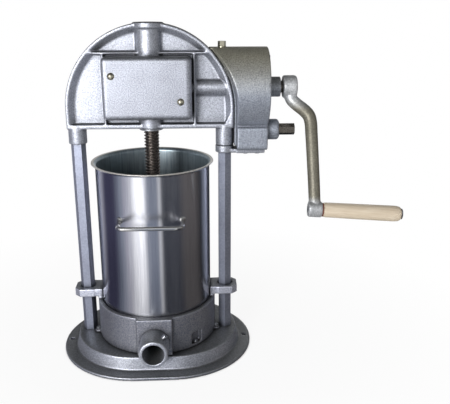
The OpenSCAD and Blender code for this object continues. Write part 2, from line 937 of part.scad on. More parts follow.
module lower_bearing() {
    color(steel)
        difference() {
            union() {
                bar_z(bearing_r, head_z - eps, bearing_top);
                bar_z(bearing_flange_r, bearing_low, head_z);
            }
            bar_z(bearing_lip_r, bearing_low - eps, bearing_top);
            bar_z(nut_r + run_fit, bearing_low + bearing_lip_t, bearing_top + eps);
        }
}

module upper_bush() {
    color(bronze)
        difference() {
            bar_z(upper_bush_r, room_high, room_high + upper_bush_len - 1);
            bar_z(nut_r + run_fit, room_high - eps, room_high + upper_bush_len);
        }
}

module thrust_washer() {
    color(bronze)
        difference() {
            bar_z(thrust_r, room_high - thrust_t, room_high);
            bar_z(nut_r + move_fit, room_high - thrust_t - eps, room_high + eps);
        }
}

module guide_bush() {
    color(bronze)
        difference() {
            bar_z(upper_bush_r, guide_low, guide_high);
            bar_z(screw_bore, guide_low - eps, guide_high + eps);
            block([-key_w / 2, 0, guide_low - eps], [key_w / 2, upper_bush_r + eps, guide_high + eps]);
        }
}

module guide_key() {
    color(steel)
        intersection() {
            block([-key_w / 2, screw_r - keyway_d + key_fit, guide_low], [key_w / 2, big, guide_high]);
            bar_z(upper_bush_r, guide_low, guide_high);
        }
}

// Plain bush along X
module bush_x(r, bore, x0, x1, z) {
    color(bronze)
        difference() {
            bar_x(r, x0, x1, z);
            bar_x(bore, x0 - eps, x1 + eps, z);
        }
}

module case_bush() {
    bush_x(inner_bush_r, shaft_r + run_fit, case_bush_x0, case_bush_x1, drive_z);
}

module drive_inner_bush() {
    bush_x(inner_bush_r, shaft_r + run_fit, chamber_x - inner_bush_len, chamber_x, drive_z);
}

module drive_outer_bush() {
    bush_x(outer_bush_r, journal_r + run_fit, box_x1, drive_boss_x, drive_z);
}

module slow_inner_bush() {
    bush_x(inner_bush_r, shaft_r + run_fit, chamber_x - inner_bush_len, chamber_x, slow_z);
}

module slow_outer_bush() {
    bush_x(outer_bush_r, journal_r + run_fit, box_x1, slow_boss_x, slow_z);
}

// Room that the arch and its right leg take out of the gearbox, at distance r from the arch axis
module arch_room(r, y0, y1) {
    bar_y(r, y0, y1, 0, arch_z);
    block([-big, y0, -big], [r, y1, arch_z]);
}

module gearbox_housing() {
    color(cast_grey)
        difference() {
            union() {
                along_x(column_x - box_r, box_x1)
                    box_outline();
            }
            arch_room(arch_r + arch_fit, -big, big);
            arch_room(box_x0, -big, -pad_half_y);
            arch_room(box_x0, pad_half_y, big);
            block([-big, -big, -big], [box_x0, big, right_socket_z + hole_fit]);
            along_x(chamber_x, box_x1 + eps)
                chamber_outline();
            bar_x(shaft_r + move_fit, 0, box_x1, drive_z);
            for (z = [drive_z, slow_z])
                bar_x(inner_bush_r, chamber_x - inner_bush_len, chamber_x + eps, z);
            for (a = box_screw_angles)
                translate([0, box_screw_ring * cos(a), drive_z + box_screw_ring * sin(a)])
                    bar_x(box_screw_d / 2, box_x2 - box_screw_len, box_x1 + eps);
            for (x = support_screws_at)
                bar_z(support_screw_d / 2, slow_z - lobe_r - eps, slow_z - lobe_r + support_thread, x);
            bar_z(bolt_d / 2 + hole_fit, 0, big * 2, bolt_x);
            bar_z(bolt_washer_r + 1, bolt_seat_z, big * 2, bolt_x);
        }
}

module gearbox_cover() {
    csk = box_screw_d / 2;
    color(cast_grey)
        difference() {
            union() {
                along_x(box_x1, box_x2)
                    box_outline();
                bar_x(drive_boss_r, box_x1, drive_boss_x, drive_z);
                bar_x(slow_boss_r, box_x1, slow_boss_x - boss_chamfer, slow_z);
                translate([slow_boss_x - boss_chamfer, 0, slow_z])
                    rotate([0, 90, 0])
                        cylinder(r1 = slow_boss_r, r2 = slow_boss_r - boss_chamfer, h = boss_chamfer);
            }
            for (z = [drive_z, slow_z])
                bar_x(outer_bush_r, box_x1 - eps, big, z);
            for (a = box_screw_angles)
                translate([0, box_screw_ring * cos(a), drive_z + box_screw_ring * sin(a)]) {
                    bar_x(csk + hole_fit, box_x1 - eps, box_x2 + eps);
                    bar_x(2 * csk - hole_fit, box_x2 - csk, box_x2 + eps);
                }
        }
}

module gearbox_screws() {
    csk = box_screw_d / 2;
    color(bright)
        for (a = box_screw_angles)
            translate([0, box_screw_ring * cos(a), drive_z + box_screw_ring * sin(a)]) {
                bar_x(csk, box_x2 - box_screw_len + eps, box_x2 - csk + eps);
                bar_x(2 * csk - 2 * hole_fit, box_x2 - csk, box_x2);
            }
}

module gearbox_bolt() {
    color(brass) {
        bar_z(bolt_d / 2, bolt_arch_z - bolt_thread + eps, bolt_seat_z + bolt_washer_t + eps, bolt_x);
        hex_z(bolt_af, bolt_seat_z + bolt_washer_t, bolt_seat_z + bolt_washer_t + bolt_head_h, bolt_x);
    }
}

module gearbox_bolt_washer() {
    color(brass)
        difference() {
            bar_z(bolt_washer_r, bolt_seat_z, bolt_seat_z + bolt_washer_t, bolt_x);
            bar_z(bolt_d / 2 + hole_fit, bolt_seat_z - eps, bolt_seat_z + bolt_washer_t + eps, bolt_x);
        }
}

module support_plate() {
    color(cast_grey)
        difference() {
            union() {
                bar_z(collar_r, support_z, right_socket_z, column_x);
                block([column_x, -support_half + 5, support_z],
                    [box_x0, support_half - 5, support_z + support_t]);
                block([box_x0 - eps, -support_half, support_z],
                    [support_x1, support_half, support_z + support_t]);
            }
            bar_z(column_r + collar_wall_fit, support_z - eps, right_socket_z + eps, column_x);
            for (x = support_screws_at)
                bar_z(support_screw_d / 2 + hole_fit, support_z - eps, support_z + support_t + eps, x);
        }
}

module support_screws() {
    head_h = 4;
    color(bright)
        for (x = support_screws_at) {
            hex_z(support_screw_d * 1.65, support_z - head_h, support_z, x);
            bar_z(support_screw_d / 2, support_z - eps, slow_z - lobe_r + support_thread - eps, x);
        }
}

// Place of a sunk key on top of a shaft along X
module key_x(r, w, depth, x0, x1, z, grow = 0) {
    block([x0 - grow, -w / 2 - grow, z + r - depth - grow], [x1 + grow, w / 2 + grow, z + r + depth + grow]);
}

shaft_key_w = 5;
shaft_key_d = 2.5;

module drive_shaft() {
    color(steel)
        difference() {
            union() {
                bar_x(shaft_r, shaft_start, journal_x + eps, drive_z);
                bar_x(journal_r, journal_x, hex_x, drive_z);
                on_crank()
                    hex_x_bar(hex_af, hex_x - eps, hex_x + hex_len, 0);
            }
            key_x(shaft_r, shaft_key_w, shaft_key_d, gear_x + 2, gear_x + gear_w - 2, drive_z);
            bar_y(pin_d / 2, -big, big, pinion_hub_x - pin_d, drive_z);
        }
}

module spur_gear() {
    color(dark_steel)
        difference() {
            translate([gear_x + gear_w, 0, drive_z])
                rotate([0, -90, 0])
                    linear_extrude(gear_w)
                        gear_outline(gear_teeth, gear_m, gear_m * tooth_add, gear_m * tooth_ded, gear_play);
            bar_x(shaft_r, gear_x - eps, gear_x + gear_w + eps, drive_z);
            key_x(shaft_r, shaft_key_w, shaft_key_d, gear_x + 2, gear_x + gear_w - 2, drive_z);
        }
}

module spur_key() {
    color(steel)
        key_x(shaft_r, shaft_key_w, shaft_key_d, gear_x + 2, gear_x + gear_w - 2, drive_z);
}

module bevel_pinion() {
    color(dark_steel)
        difference() {
            union() {
                translate([bevel_r, 0, drive_z])
                    rotate([0, -90, 0])
                        rotate([0, 0, 180 / bevel_teeth])
                            bevel_teeth_body();
                bar_x(bevel_hub_r, bevel_r - eps, bevel_r + 6, drive_z);
                bar_x(pinion_hub_r, bevel_r, pinion_hub_x, drive_z);
            }
            bar_x(shaft_r, 0, pinion_hub_x + eps, drive_z);
            bar_y(pin_d / 2, -big, big, pinion_hub_x - pin_d, drive_z);
        }
}

module pinion_pin() {
    color(steel)
        bar_y(pin_d / 2, -pinion_hub_r + 0.5, pinion_hub_r - 0.5, pinion_hub_x - pin_d, drive_z);
}

module slow_shaft() {
    color(steel)
        difference() {
            union() {
                bar_x(shaft_r, slow_start + move_fit, journal_x + eps, slow_z);
                bar_x(journal_r, journal_x, slow_hex_x, slow_z);
                hex_x_bar(hex_af, slow_hex_x - eps, slow_hex_x + slow_hex_len, slow_z);
            }
            key_x(shaft_r, shaft_key_w, shaft_key_d, pinion_x + 3, pinion_x + pinion_w - 3, slow_z);
        }
}

module slow_pinion() {
    color(dark_steel)
        difference() {
            translate([pinion_x + pinion_w, 0, slow_z])
                rotate([0, -90, 0])
                    linear_extrude(pinion_w)
                        rotate([0, 0, 180 / pinion_teeth])
                            gear_outline(pinion_teeth, gear_m, gear_m * tooth_add, gear_m * tooth_ded,
                                gear_play);
            bar_x(shaft_r, pinion_x - eps, pinion_x + pinion_w + eps, slow_z);
            key_x(shaft_r, shaft_key_w, shaft_key_d, pinion_x + 3, pinion_x + pinion_w - 3, slow_z);
        }
}

module slow_key() {
    color(steel)
        key_x(shaft_r, shaft_key_w, shaft_key_d, pinion_x + 3, pinion_x + pinion_w - 3, slow_z);
}

// Frame of the crank: axis along X at height 0, arm running down
module on_crank() {
    translate([0, 0, drive_z])
        rotate([-crank_turn, 0, 0])
            children();
}

// Frame of the grip: axis along X through the middle of the eye
module on_grip() {
    on_crank()
        translate([eye_x, 0, -crank_r])
            rotate([0, grip_droop, 0])
                children();
}

// Round bar from p to q
module rod(p, q, r) {
    d = q - p;
    translate(p)
        rotate([0, acos(d[2] / norm(d)), atan2(d[1], d[0])])
            cylinder(r = r, h = norm(d));
}

module crank_arm() {
    arm = [[hub_mid, 0, -arm_r / 2], [hub_mid + 0.06 * arm_out, 0, -0.5 * bend_drop],
        [bend_x, 0, -bend_drop], [eye_x, 0, -crank_r + arm_r / 2]];
    color(cast_grey)
        difference() {
            union() {
                on_crank() {
                    bar_x(hub_r, hub_x0, hub_x1);
                    for (i = [0:2])
                        rod(arm[i], arm[i + 1], arm_r);
                    for (i = [1, 2])
                        translate(arm[i])
                            sphere(r = arm_r + joint_swell);
                }
                on_grip()
                    bar_x(eye_r, -eye_half, eye_half);
            }
            on_crank()
                hex_x_bar(hex_af + 2 * hex_fit, hub_x0 - eps, hub_x1 + eps, 0);
            on_grip() {
                bar_x(spindle_r, -eye_half - eps, eye_half + eps);
                bar_x(arm_d, eye_half, eye_half + arm_d);
            }
        }
}

module grip_spindle() {
    color(steel)
        on_grip()
            bar_x(spindle_r, -eye_half, grip_x1 + cap_gap + grip_cap_t);
}

module grip_washer() {
    color(fibre)
        on_grip()
            difference() {
                bar_x(grip_r - 2, eye_half, eye_half + grip_washer_t);
                bar_x(spindle_r, 0, grip_x0);
            }
}

module grip_cap() {
    color(steel)
        on_grip()
            difference() {
                bar_x(grip_cap_r, grip_x1 + cap_gap, grip_x1 + cap_gap + grip_cap_t);
                bar_x(spindle_r, 0, grip_x1 * 2);
            }
}

module grip() {
    color(wood)
        on_grip()
            rotate([0, 90, 0])
                rotate_extrude()
                    polygon([[grip_bore, grip_x0], [grip_r - grip_neck - 1, grip_x0],
                        [grip_r - grip_neck, grip_x0 + 1], [grip_r, grip_x1 - 2 * grip_edge],
                        [grip_r - 0.25 * grip_edge, grip_x1 - grip_edge],
                        [grip_r - grip_edge, grip_x1], [grip_bore, grip_x1]]);
}

module lead_nut() {
    color(bronze)
        difference() {
            bar_z(nut_r, nut_low, nut_high - 2);
            bar_z(screw_bore, nut_low - eps, nut_high);
            block([-key_w / 2, nut_r - nut_key_d, bevel_z], [key_w / 2, nut_r + nut_key_d, gear_back]);
        }
}

module bevel_gear() {
    color(dark_steel)
        difference() {
            union() {
                translate([0, 0, bevel_z])
                    mirror([0, 0, 1])
                        bevel_teeth_body();
                bar_z(bevel_hub_r, bevel_z - eps, gear_back);
            }
            bar_z(nut_r, 0, big * 2);
            block([-key_w / 2, 0, bevel_z], [key_w / 2, nut_r + nut_key_d, gear_back + eps]);
        }
}

module nut_key() {
    color(steel)
        block([-key_w / 2, nut_r - nut_key_d, bevel_z], [key_w / 2, nut_r + nut_key_d, gear_back]);
}

// Half section of the screw: spigot, shoulder and a row of thread crests
thread_points = [for (i = [0:thread_count - 1]) let(z = thread_z0 + i * thread_pitch)
    each [[screw_root, z + 0.12 * thread_pitch], [screw_r, z + 0.32 * thread_pitch],
        [screw_r, z + 0.68 * thread_pitch], [screw_root, z + 0.88 * thread_pitch]]];

module lead_screw() {
    color(dark_steel)
        difference() {
            rotate_extrude()
                polygon(concat([[0, piston_z + 1], [screw_spigot_r, piston_z + 1],
                    [screw_spigot_r, piston_boss_top], [screw_root, piston_boss_top]],
                    thread_points, [[screw_root, screw_top], [0, screw_top]]));
            block([-key_w / 2 - key_fit, screw_r - keyway_d, thread_z0],
                [key_w / 2 + key_fit, big, screw_top + eps]);
        }
}

seal_z = piston_z + (piston_t - seal_h) / 2;

module piston_plate() {
    color(bright)
        difference() {
            union() {
                bar_z(piston_r, piston_z, piston_top);
                bar_z(piston_boss_r, piston_top - eps, piston_boss_top);
            }
            difference() {
                bar_z(piston_r + eps, seal_z, seal_z + seal_h);
                bar_z(piston_r - seal_depth, seal_z, seal_z + seal_h);
            }
            bar_z(screw_spigot_r, piston_z, piston_boss_top + eps);
            bar_z(nut_af * 0.65, piston_z - eps, piston_z + piston_recess);
            bar_z(valve_r, piston_z - eps, piston_top + eps, valve_x);
        }
}

module piston_seal() {
    color(rubber)
        difference() {
            bar_z(bore_r - seal_fit, seal_z, seal_z + seal_h);
            bar_z(piston_r - seal_depth, seal_z - eps, seal_z + seal_h + eps);
        }
}

module piston_nut() {
    color(bright)
        difference() {
            hex_z(nut_af, piston_z + 2, piston_z + piston_recess);
            bar_z(screw_spigot_r, piston_z, piston_top);
        }
}

module air_valve() {
    color(bright) {
        bar_z(valve_r, piston_z, piston_top + eps, valve_x);
        bar_z(valve_head_r, piston_top, piston_top + valve_head_h, valve_x);
    }
}

module cylinder_wall() {
    lip_edge = 2;
    rotate_extrude()
        polygon([[bore_r, cyl_z], [cyl_r, cyl_z], [cyl_r, lip_z - lip_h],
            [lip_r - 1, lip_z - lip_edge - 1], [lip_r, lip_z - lip_edge], [lip_r, lip_z],
            [lip_r - 2 * cyl_wall, lip_z], [bore_r, lip_z - lip_h + cyl_wall / 2]]);
}

module cylinder_node() {
    color(bright)
        cylinder_wall();
}

module cylinder_handle() {
    z = cyl_z + wire_rise;
    bar_at = -cyl_r - wire_off;
    bend = 12;
    half = wire_span / 2;
    color(bright)
        difference() {
            union() {
                bar_x(wire_d / 2, -half + bend, half - bend, z, bar_at);
                for (s = [0, 1])
                    mirror([s, 0, 0]) {
                        bar_y(wire_d / 2, bar_at + bend, -cyl_r / 2, half, z);
                        translate([half - bend, bar_at + bend, z])
                            rotate([0, 0, -90])
                                rotate_extrude(angle = 90)
                                    translate([bend, 0])
                                        circle(r = wire_d / 2);
                    }
            }
            bar_z(cyl_r, z - big, z + big);
        }
}

base_plate();
seat_cup();
seat_gasket();
seat_screws();
outlet_pipe();
outlet_pin();
left_column();
right_column();
column_nuts();
column_washers();
column_set_screws();
head_casting();
gear_case_cover();
cover_screws();
lower_bearing();
upper_bush();
thrust_washer();
guide_bush();
guide_key();
case_bush();
drive_inner_bush();
drive_outer_bush();
slow_inner_bush();
slow_outer_bush();
gearbox_housing();
gearbox_cover();
gearbox_screws();
gearbox_bolt();
gearbox_bolt_washer();
support_plate();
support_screws();
drive_shaft();
spur_gear();
spur_key();
bevel_pinion();
pinion_pin();
slow_shaft();
slow_pinion();
slow_key();
crank_arm();
grip_spindle();
grip_washer();
grip_cap();
grip();
lead_nut();
bevel_gear();
nut_key();
lead_screw();
piston_plate();
piston_seal();
piston_nut();
air_valve();
cylinder_node();  // cylinder
cylinder_handle();
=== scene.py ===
# %% [markdown]
# # A hand-cranked vertical sausage stuffer
#
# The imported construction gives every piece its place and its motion. This lesson dresses it:
# castings get the soft edges of a sand mould, turned and bent pieces are worked out as surfaces
# with numpy, and each finish is built from what the real one is.

# %% Load the frame
import json
import math

import bmesh
import bpy
import numpy as np
from mathutils import Euler, Matrix, Vector


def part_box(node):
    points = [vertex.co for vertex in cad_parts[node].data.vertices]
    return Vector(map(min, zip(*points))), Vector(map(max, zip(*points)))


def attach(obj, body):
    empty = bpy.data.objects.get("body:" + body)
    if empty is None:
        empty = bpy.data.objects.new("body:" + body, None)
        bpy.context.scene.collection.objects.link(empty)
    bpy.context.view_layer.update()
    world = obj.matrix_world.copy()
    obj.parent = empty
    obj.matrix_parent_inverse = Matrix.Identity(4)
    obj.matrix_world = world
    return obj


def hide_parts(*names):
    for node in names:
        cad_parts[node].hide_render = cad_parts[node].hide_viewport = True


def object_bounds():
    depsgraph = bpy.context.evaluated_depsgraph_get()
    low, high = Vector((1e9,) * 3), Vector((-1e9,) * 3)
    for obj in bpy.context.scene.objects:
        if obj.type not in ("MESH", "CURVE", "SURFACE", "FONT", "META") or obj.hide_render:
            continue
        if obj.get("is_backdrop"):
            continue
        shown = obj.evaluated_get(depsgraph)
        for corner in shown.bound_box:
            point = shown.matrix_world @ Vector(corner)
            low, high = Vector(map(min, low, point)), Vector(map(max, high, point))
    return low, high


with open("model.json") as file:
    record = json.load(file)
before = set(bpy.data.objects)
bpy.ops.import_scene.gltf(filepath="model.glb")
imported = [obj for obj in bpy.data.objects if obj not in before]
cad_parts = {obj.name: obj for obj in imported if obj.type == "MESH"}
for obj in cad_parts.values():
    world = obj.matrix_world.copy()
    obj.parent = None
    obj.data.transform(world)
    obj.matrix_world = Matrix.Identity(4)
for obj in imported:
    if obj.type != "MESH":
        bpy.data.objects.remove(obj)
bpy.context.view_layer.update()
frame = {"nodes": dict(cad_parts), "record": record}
nodes = frame["nodes"]
MM = 0.001

# %% [markdown]
# ## From arrays to meshes
#
# A surface is a grid of points: rows follow a profile, columns follow a path. All faces of such a
# grid are one index pattern, so no loop over vertices is needed. The signed volume of a closed
# surface is positive when its faces point outwards, which settles the winding for every piece.


# %% Mesh helpers
def linked(name, data):
    """A new object in the scene for a mesh, a lamp or a camera."""
    made = bpy.data.objects.new(name, data)
    bpy.context.scene.collection.objects.link(made)
    return made


def surface(name, points, wrap_rows=False):
    """Closed grid of points, shape (rows, columns, 3) in mm; columns always join up.

    Face (i, j) joins the points (i, j), (i, j+1), (i+1, j+1) and (i+1, j)."""
    rows, cols = points.shape[:2]
    index = np.arange(rows * cols).reshape(rows, cols)
    here = index if wrap_rows else index[:-1]
    below = np.roll(index, -1, 0) if wrap_rows else index[1:]
    faces = np.stack([here, np.roll(here, -1, 1), np.roll(below, -1, 1), below], -1).reshape(-1, 4)
    flat = points.reshape(-1, 3) * MM
    a, b, c, d = (flat[faces[:, k]] for k in range(4))
    volume = (np.cross(b, c) * a).sum() + (np.cross(c, d) * a).sum()
    if volume < 0:
        faces = faces[:, ::-1]
    mesh = bpy.data.meshes.new(name)
    mesh.from_pydata(flat, [], faces)
    mesh.shade_smooth()
    return linked(name, mesh)


def with_modifiers(piece, *modifiers):
    """The piece's mesh becomes what a stack of modifiers, given as (type, settings), makes of it."""
    for kind, settings in modifiers:
        modifier = piece.modifiers.new(kind.title(), kind)
        for key, value in settings.items():
            setattr(modifier, key, value)
    shown = piece.evaluated_get(bpy.context.evaluated_depsgraph_get())
    mesh = bpy.data.meshes.new_from_object(shown)
    piece.modifiers.clear()
    piece.data = mesh


def place(piece, body, slot, material, *replaced):
    """The piece rides on its body, stands for CAD nodes and takes its finish."""
    piece.data.materials.clear()
    piece.data.materials.append(material)
    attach(piece, body)
    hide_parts(*replaced)
    print(piece.name, "faces", len(piece.data.polygons))


# %% [markdown]
# ## Finishes
#
# Colours are written as sRGB hex and turned to linear once. Patterns read Object coordinates,
# which are metres in the shared frame, so a pattern of so many millimetres has a scale of
# one thousand divided by that size.


# %% Colour and node helpers
def colour(code):
    """Linear RGBA of an sRGB hex code: c/12.92 below 0.04045, else ((c+0.055)/1.055)^2.4."""
    srgb = np.array([int(code[i:i + 2], 16) for i in (1, 3, 5)]) / 255
    linear = np.where(srgb <= 0.04045, srgb / 12.92, ((srgb + 0.055) / 1.055) ** 2.4)
    return (*linear.tolist(), 1.0)


def add(tree, kind, settings=None, inputs=None):
    """Add one node, set its properties, and fill or link its inputs by name or number."""
    made = tree.nodes.new(kind)
    for key, value in (settings or {}).items():
        setattr(made, key, value)
    for key, value in (inputs or {}).items():
        if isinstance(value, bpy.types.NodeSocket):
            tree.links.new(value, made.inputs[key])
        else:
            made.inputs[key].default_value = value
    return made


def new_finish(name, constants):
    """A material with one Principled shader whose constant sockets are set; gives all three."""
    material = bpy.data.materials.new(name)
    material.use_nodes = True
    tree = material.node_tree
    shader = tree.nodes["Principled BSDF"]
    for key, value in constants.items():
        shader.inputs[key].default_value = value
    return material, tree, shader


def feed(tree, shader, skin, rough, relief):
    """Link a pattern's colour, roughness and normal to the shader."""
    for key, socket in (("Base Color", skin), ("Roughness", rough), ("Normal", relief)):
        tree.links.new(socket, shader.inputs[key])


# %% [markdown]
# Nearly every finish is put together from the same few steps: a noise, a range stretched to other
# limits, a mix of two colours, a ramp of colours and a relief. Each step is a helper that gives the
# socket of its result, so that steps can be written one inside the other.


# %% Steps of a pattern
def here_in(tree):
    """Place in the shared frame, in metres."""
    return add(tree, "ShaderNodeTexCoord").outputs["Object"]


def axes(tree, vector):
    """Parts X, Y and Z of a vector."""
    return add(tree, "ShaderNodeSeparateXYZ", None, {0: vector}).outputs


def per_mm(size):
    """Texture scale at which one cell of a pattern is so many millimetres."""
    return 1000 / size


def noise(tree, vector, size, detail, roughness=0.5):
    """Noise whose cells are so many millimetres."""
    made = add(tree, "ShaderNodeTexNoise", None,
               {"Vector": vector, "Scale": per_mm(size), "Detail": detail, "Roughness": roughness})
    return made.outputs["Fac"]


def stretched(tree, value, start, end, low=0.0, high=1.0, smooth=False):
    """What runs from start to end now runs from low to high, and stays there beyond."""
    made = add(tree, "ShaderNodeMapRange", {"interpolation_type": "SMOOTHSTEP" if smooth else "LINEAR"},
               {"Value": value, "From Min": start, "From Max": end, "To Min": low, "To Max": high})
    return made.outputs["Result"]


def worked(tree, operation, *values):
    """Result of a Math node."""
    return add(tree, "ShaderNodeMath", {"operation": operation}, dict(enumerate(values))).outputs[0]


def blended(tree, share, first, second, kind="MIX"):
    """Mix of two colours, which are the sockets 6 and 7 of a Mix node, as its output 2."""
    made = add(tree, "ShaderNodeMix", {"data_type": "RGBA", "blend_type": kind},
               {0: share, 6: first, 7: second})
    return made.outputs[2]


def ramp(tree, value, stops):
    """Colour between stops, which are (value, colour code) in rising order."""
    made = add(tree, "ShaderNodeValToRGB", None, {0: value})
    marks = made.color_ramp.elements
    for at, _ in stops[1:-1]:
        marks.new(at)
    for mark, (at, code) in zip(marks, stops):
        mark.position = at
        mark.color = colour(code)
    return made.outputs["Color"]


def occlusion(tree, reach):
    """How open a place is to its surroundings within so many millimetres: 1 is fully open."""
    return add(tree, "ShaderNodeAmbientOcclusion", {"samples": 8}, {"Distance": reach * MM}).outputs["AO"]


def relief_of(tree, height, strength, depth, under=None):
    """Normal of a relief so many millimetres deep, over another one where that is given."""
    inputs = {"Height": height, "Strength": strength, "Distance": depth * MM}
    if under is not None:
        inputs["Normal"] = under
    return add(tree, "ShaderNodeBump", None, inputs).outputs["Normal"]


# %% [markdown]
# ** Hammered silver paint on cast aluminium.** Air-dried paint with aluminium flakes: a grey metal
# sheen, a dimpled skin a millimetre or two across, and lighter edges, partly rubbed wear and partly
# a painted sheen. Hollows get a painted shade and faces that point up a dark painted shade. The grain
# is drawn a little coarser than real so that it shows at this distance.

# %% Cast paint
EVEN = ((0.0, "#FFFFFF"), (1.0, "#FFFFFF"))
# Dark grey of the painted shade on faces that point up.
TOP_SHADE_GREY = "#52534C"
PATCH_MM = 55


def cast_paint(name, light, dark, edge_wear_and_painted_light, grain=2.2, bump=0.5, shine=0.8, top_shade=0.72, height_tint=EVEN,
               gloss=0.36, shade_reach=18):
    """Paint of two speckled greys, with a third one on edges, partly rubbed wear and partly painted light.

    The grain and the reach of the painted shade in hollows are in mm, a share sets how much painted
    shade darkens faces that point up, and a list of heights in metres gives a tint multiplied in there."""
    material, tree, shader = new_finish(name, {"Metallic": shine, "IOR": 1.5})
    place_at = here_in(tree)
    speckle = noise(tree, place_at, grain, 3.0, 0.65)
    skin = blended(tree, stretched(tree, speckle, 0.34, 0.66), colour(dark), colour(light))
    patch = stretched(tree, noise(tree, place_at, PATCH_MM, 2.0), 0.3, 0.7, 0.88, 1.06)
    skin = blended(tree, 1.0, skin, patch, "MULTIPLY")
    geometry = add(tree, "ShaderNodeNewGeometry").outputs
    # Edges, found by pointiness, take a third colour: rubbed wear, with a painted sheen where it is paler
    # and a painted shade where it is darker.
    edge = stretched(tree, geometry["Pointiness"], 0.52, 0.6, 0.0, 0.55)
    skin = blended(tree, edge, skin, colour(edge_wear_and_painted_light))
    # A tint that depends on height is multiplied in.
    tint = ramp(tree, axes(tree, place_at)["Z"], height_tint)
    skin = blended(tree, 1.0, skin, tint, "MULTIPLY")
    # Faces that point up are blended towards a dark grey: painted shade for a dark overhead.
    painted_top_shade = stretched(tree, axes(tree, geometry["Normal"])["Z"], 0.35, 0.95, 0.0, top_shade, smooth=True)
    skin = blended(tree, painted_top_shade, skin, colour(TOP_SHADE_GREY))
    # Darker where the surroundings close in within this reach: painted shade in hollows and corners.
    painted_hollow_shade = stretched(tree, occlusion(tree, shade_reach), 0.3, 0.92, 0.26, 1.0)
    skin = blended(tree, 1.0, skin, painted_hollow_shade, "MULTIPLY")
    rough = stretched(tree, speckle, 0.0, 1.0, gloss + 0.16, gloss)
    feed(tree, shader, skin, rough, relief_of(tree, speckle, bump, 0.6))
    return material


silver_paint = cast_paint("hammered_silver_paint", "#D0D3DC", "#8E919C", "#E6E8EE")
cover_paint = cast_paint("cover_silver_paint", "#C2C5CF", "#868993", "#E0E2E8", grain=2.0, bump=0.6)
seat_paint = cast_paint("seat_silver_paint", "#FFFFFF", "#AFB2C0", "#FFFFFF",
                        height_tint=((0.104, "#ABACB2"), (0.112, "#F4F6FF")))
# The gearbox's edge grey is darker than its paint: a painted shade that dims the highlight on its edges.
# Below 0.51 m its tint is a darker blue-grey, a painted shade on its underside; above 0.58 m it is tinted
# warm.
gearbox_paint = cast_paint("gearbox_silver_paint", "#D4D7DF", "#989BA3", "#B4B6BC", shine=0.6, top_shade=0.05,
                           height_tint=((0.51, "#DCE0E6"), (0.58, "#E2DBC0")), shade_reach=12)
# The hub above 0.504 m shows the paint's pale grey untinted, a painted light that brightens it in the shade
# the gearbox throws; the arm between 0.33 and 0.482 m is tinted khaki, and below 0.318 m a little grey.
handled_paint = cast_paint("handled_silver_paint", "#E2E4E7", "#B4B6B9", "#EFF0F2", grain=3.0, bump=0.2,
                           shine=0.5, top_shade=0.35, gloss=0.4, shade_reach=12,
                           height_tint=((0.318, "#E4E4E4"), (0.33, "#989281"), (0.482, "#989281"),
                                 (0.504, "#FFFFFF")))
column_paint = cast_paint("column_silver_paint", "#A2A7B8", "#8B90A2", "#C4C8D4", grain=3.5, bump=0.12,
                          shine=0.85)
print("cast paint", silver_paint.name, column_paint.name)

# %% [markdown]
# ** Metals.** Polished stainless sheet keeps faint upright rolling marks and slow waves that bend
# its reflections, and its fine marks stretch a highlight round the tube. Turned steel has fine rings,
# greased steel is dark and brownish, bronze and pale brass differ in colour and polish.

# %% Metals
WAVE_MM = 60


def metal(name, light, dark, roughness, grain, stretch, bump, wave=0.0, shine=1.0):
    """Metal with marks of so many mm, drawn out where stretch is small, over slow waves."""
    material, tree, shader = new_finish(name, {"Metallic": shine})
    drawn = add(tree, "ShaderNodeMapping", None, {"Vector": here_in(tree), "Scale": stretch})
    marks = noise(tree, drawn.outputs["Vector"], grain, 4.0, 0.6)
    slow = noise(tree, drawn.outputs["Vector"], WAVE_MM, 1.0, 0.4)
    skin = blended(tree, stretched(tree, marks, 0.3, 0.7), colour(dark), colour(light))
    rough = stretched(tree, marks, 0.0, 1.0, roughness * 0.75, roughness * 1.25)
    fine = relief_of(tree, marks, bump, 0.2)
    feed(tree, shader, skin, rough, relief_of(tree, slow, wave, 4, fine))
    return material


stainless = metal("polished_stainless_sheet", "#D4D5DB", "#C4C5CD", 0.22, 2.2, (1, 1, 0.03), 0.03, 0.02)
round_about = add(stainless.node_tree, "ShaderNodeTangent", {"direction_type": "RADIAL", "axis": "Z"})
shader = stainless.node_tree.nodes["Principled BSDF"]
shader.inputs["Anisotropic"].default_value = 0.8
shader.inputs["Anisotropic Rotation"].default_value = 0.25
stainless.node_tree.links.new(round_about.outputs[0], shader.inputs["Tangent"])
# The inside is the same sheet: its satin roughness is real, its darker teal-grey colour is a painted shade.
shaded_satin_inside = metal("satin_stainless_inside_painted_shade", "#9FABB1", "#7F8B93", 0.36, 3.0, (1, 1, 0.05), 0.04, 0.02, 0.82)
wire_steel = metal("polished_stainless_wire", "#E2E1DE", "#C9C8C8", 0.18, 2.0, (1, 1, 1), 0.04)
# A paler, less metallic steel for the lip's edge: a painted highlight.
painted_lip_highlight = metal("lip_edge_painted_highlight", "#DCD9D2", "#C6C3BC", 0.3, 3.0, (1, 1, 1), 0.03, shine=0.65)
bright_steel = metal("turned_steel", "#C6C8CC", "#A3A5AA", 0.3, 0.8, (0.3, 1, 1), 0.1)
greased_steel = metal("greased_screw_steel", "#938A84", "#4B4440", 0.32, 3.0, (1, 1, 1.5), 0.2)
bronze = metal("machined_bronze", "#B98F5A", "#96703F", 0.32, 0.9, (1, 1, 1), 0.1)
pale_brass = metal("pale_brass_plate", "#E0DBC6", "#BDB7A0", 0.28, 1.2, (1, 1, 1), 0.08)
dark_steel = metal("blued_shaft_steel", "#A09A92", "#6C665E", 0.28, 1.2, (0.3, 1, 1), 0.1)
bare_aluminium = metal("turned_aluminium", "#CFD1D4", "#B4B6BA", 0.35, 0.9, (1, 1, 1), 0.1)
print("metals, from", stainless.name, "to", bare_aluminium.name)

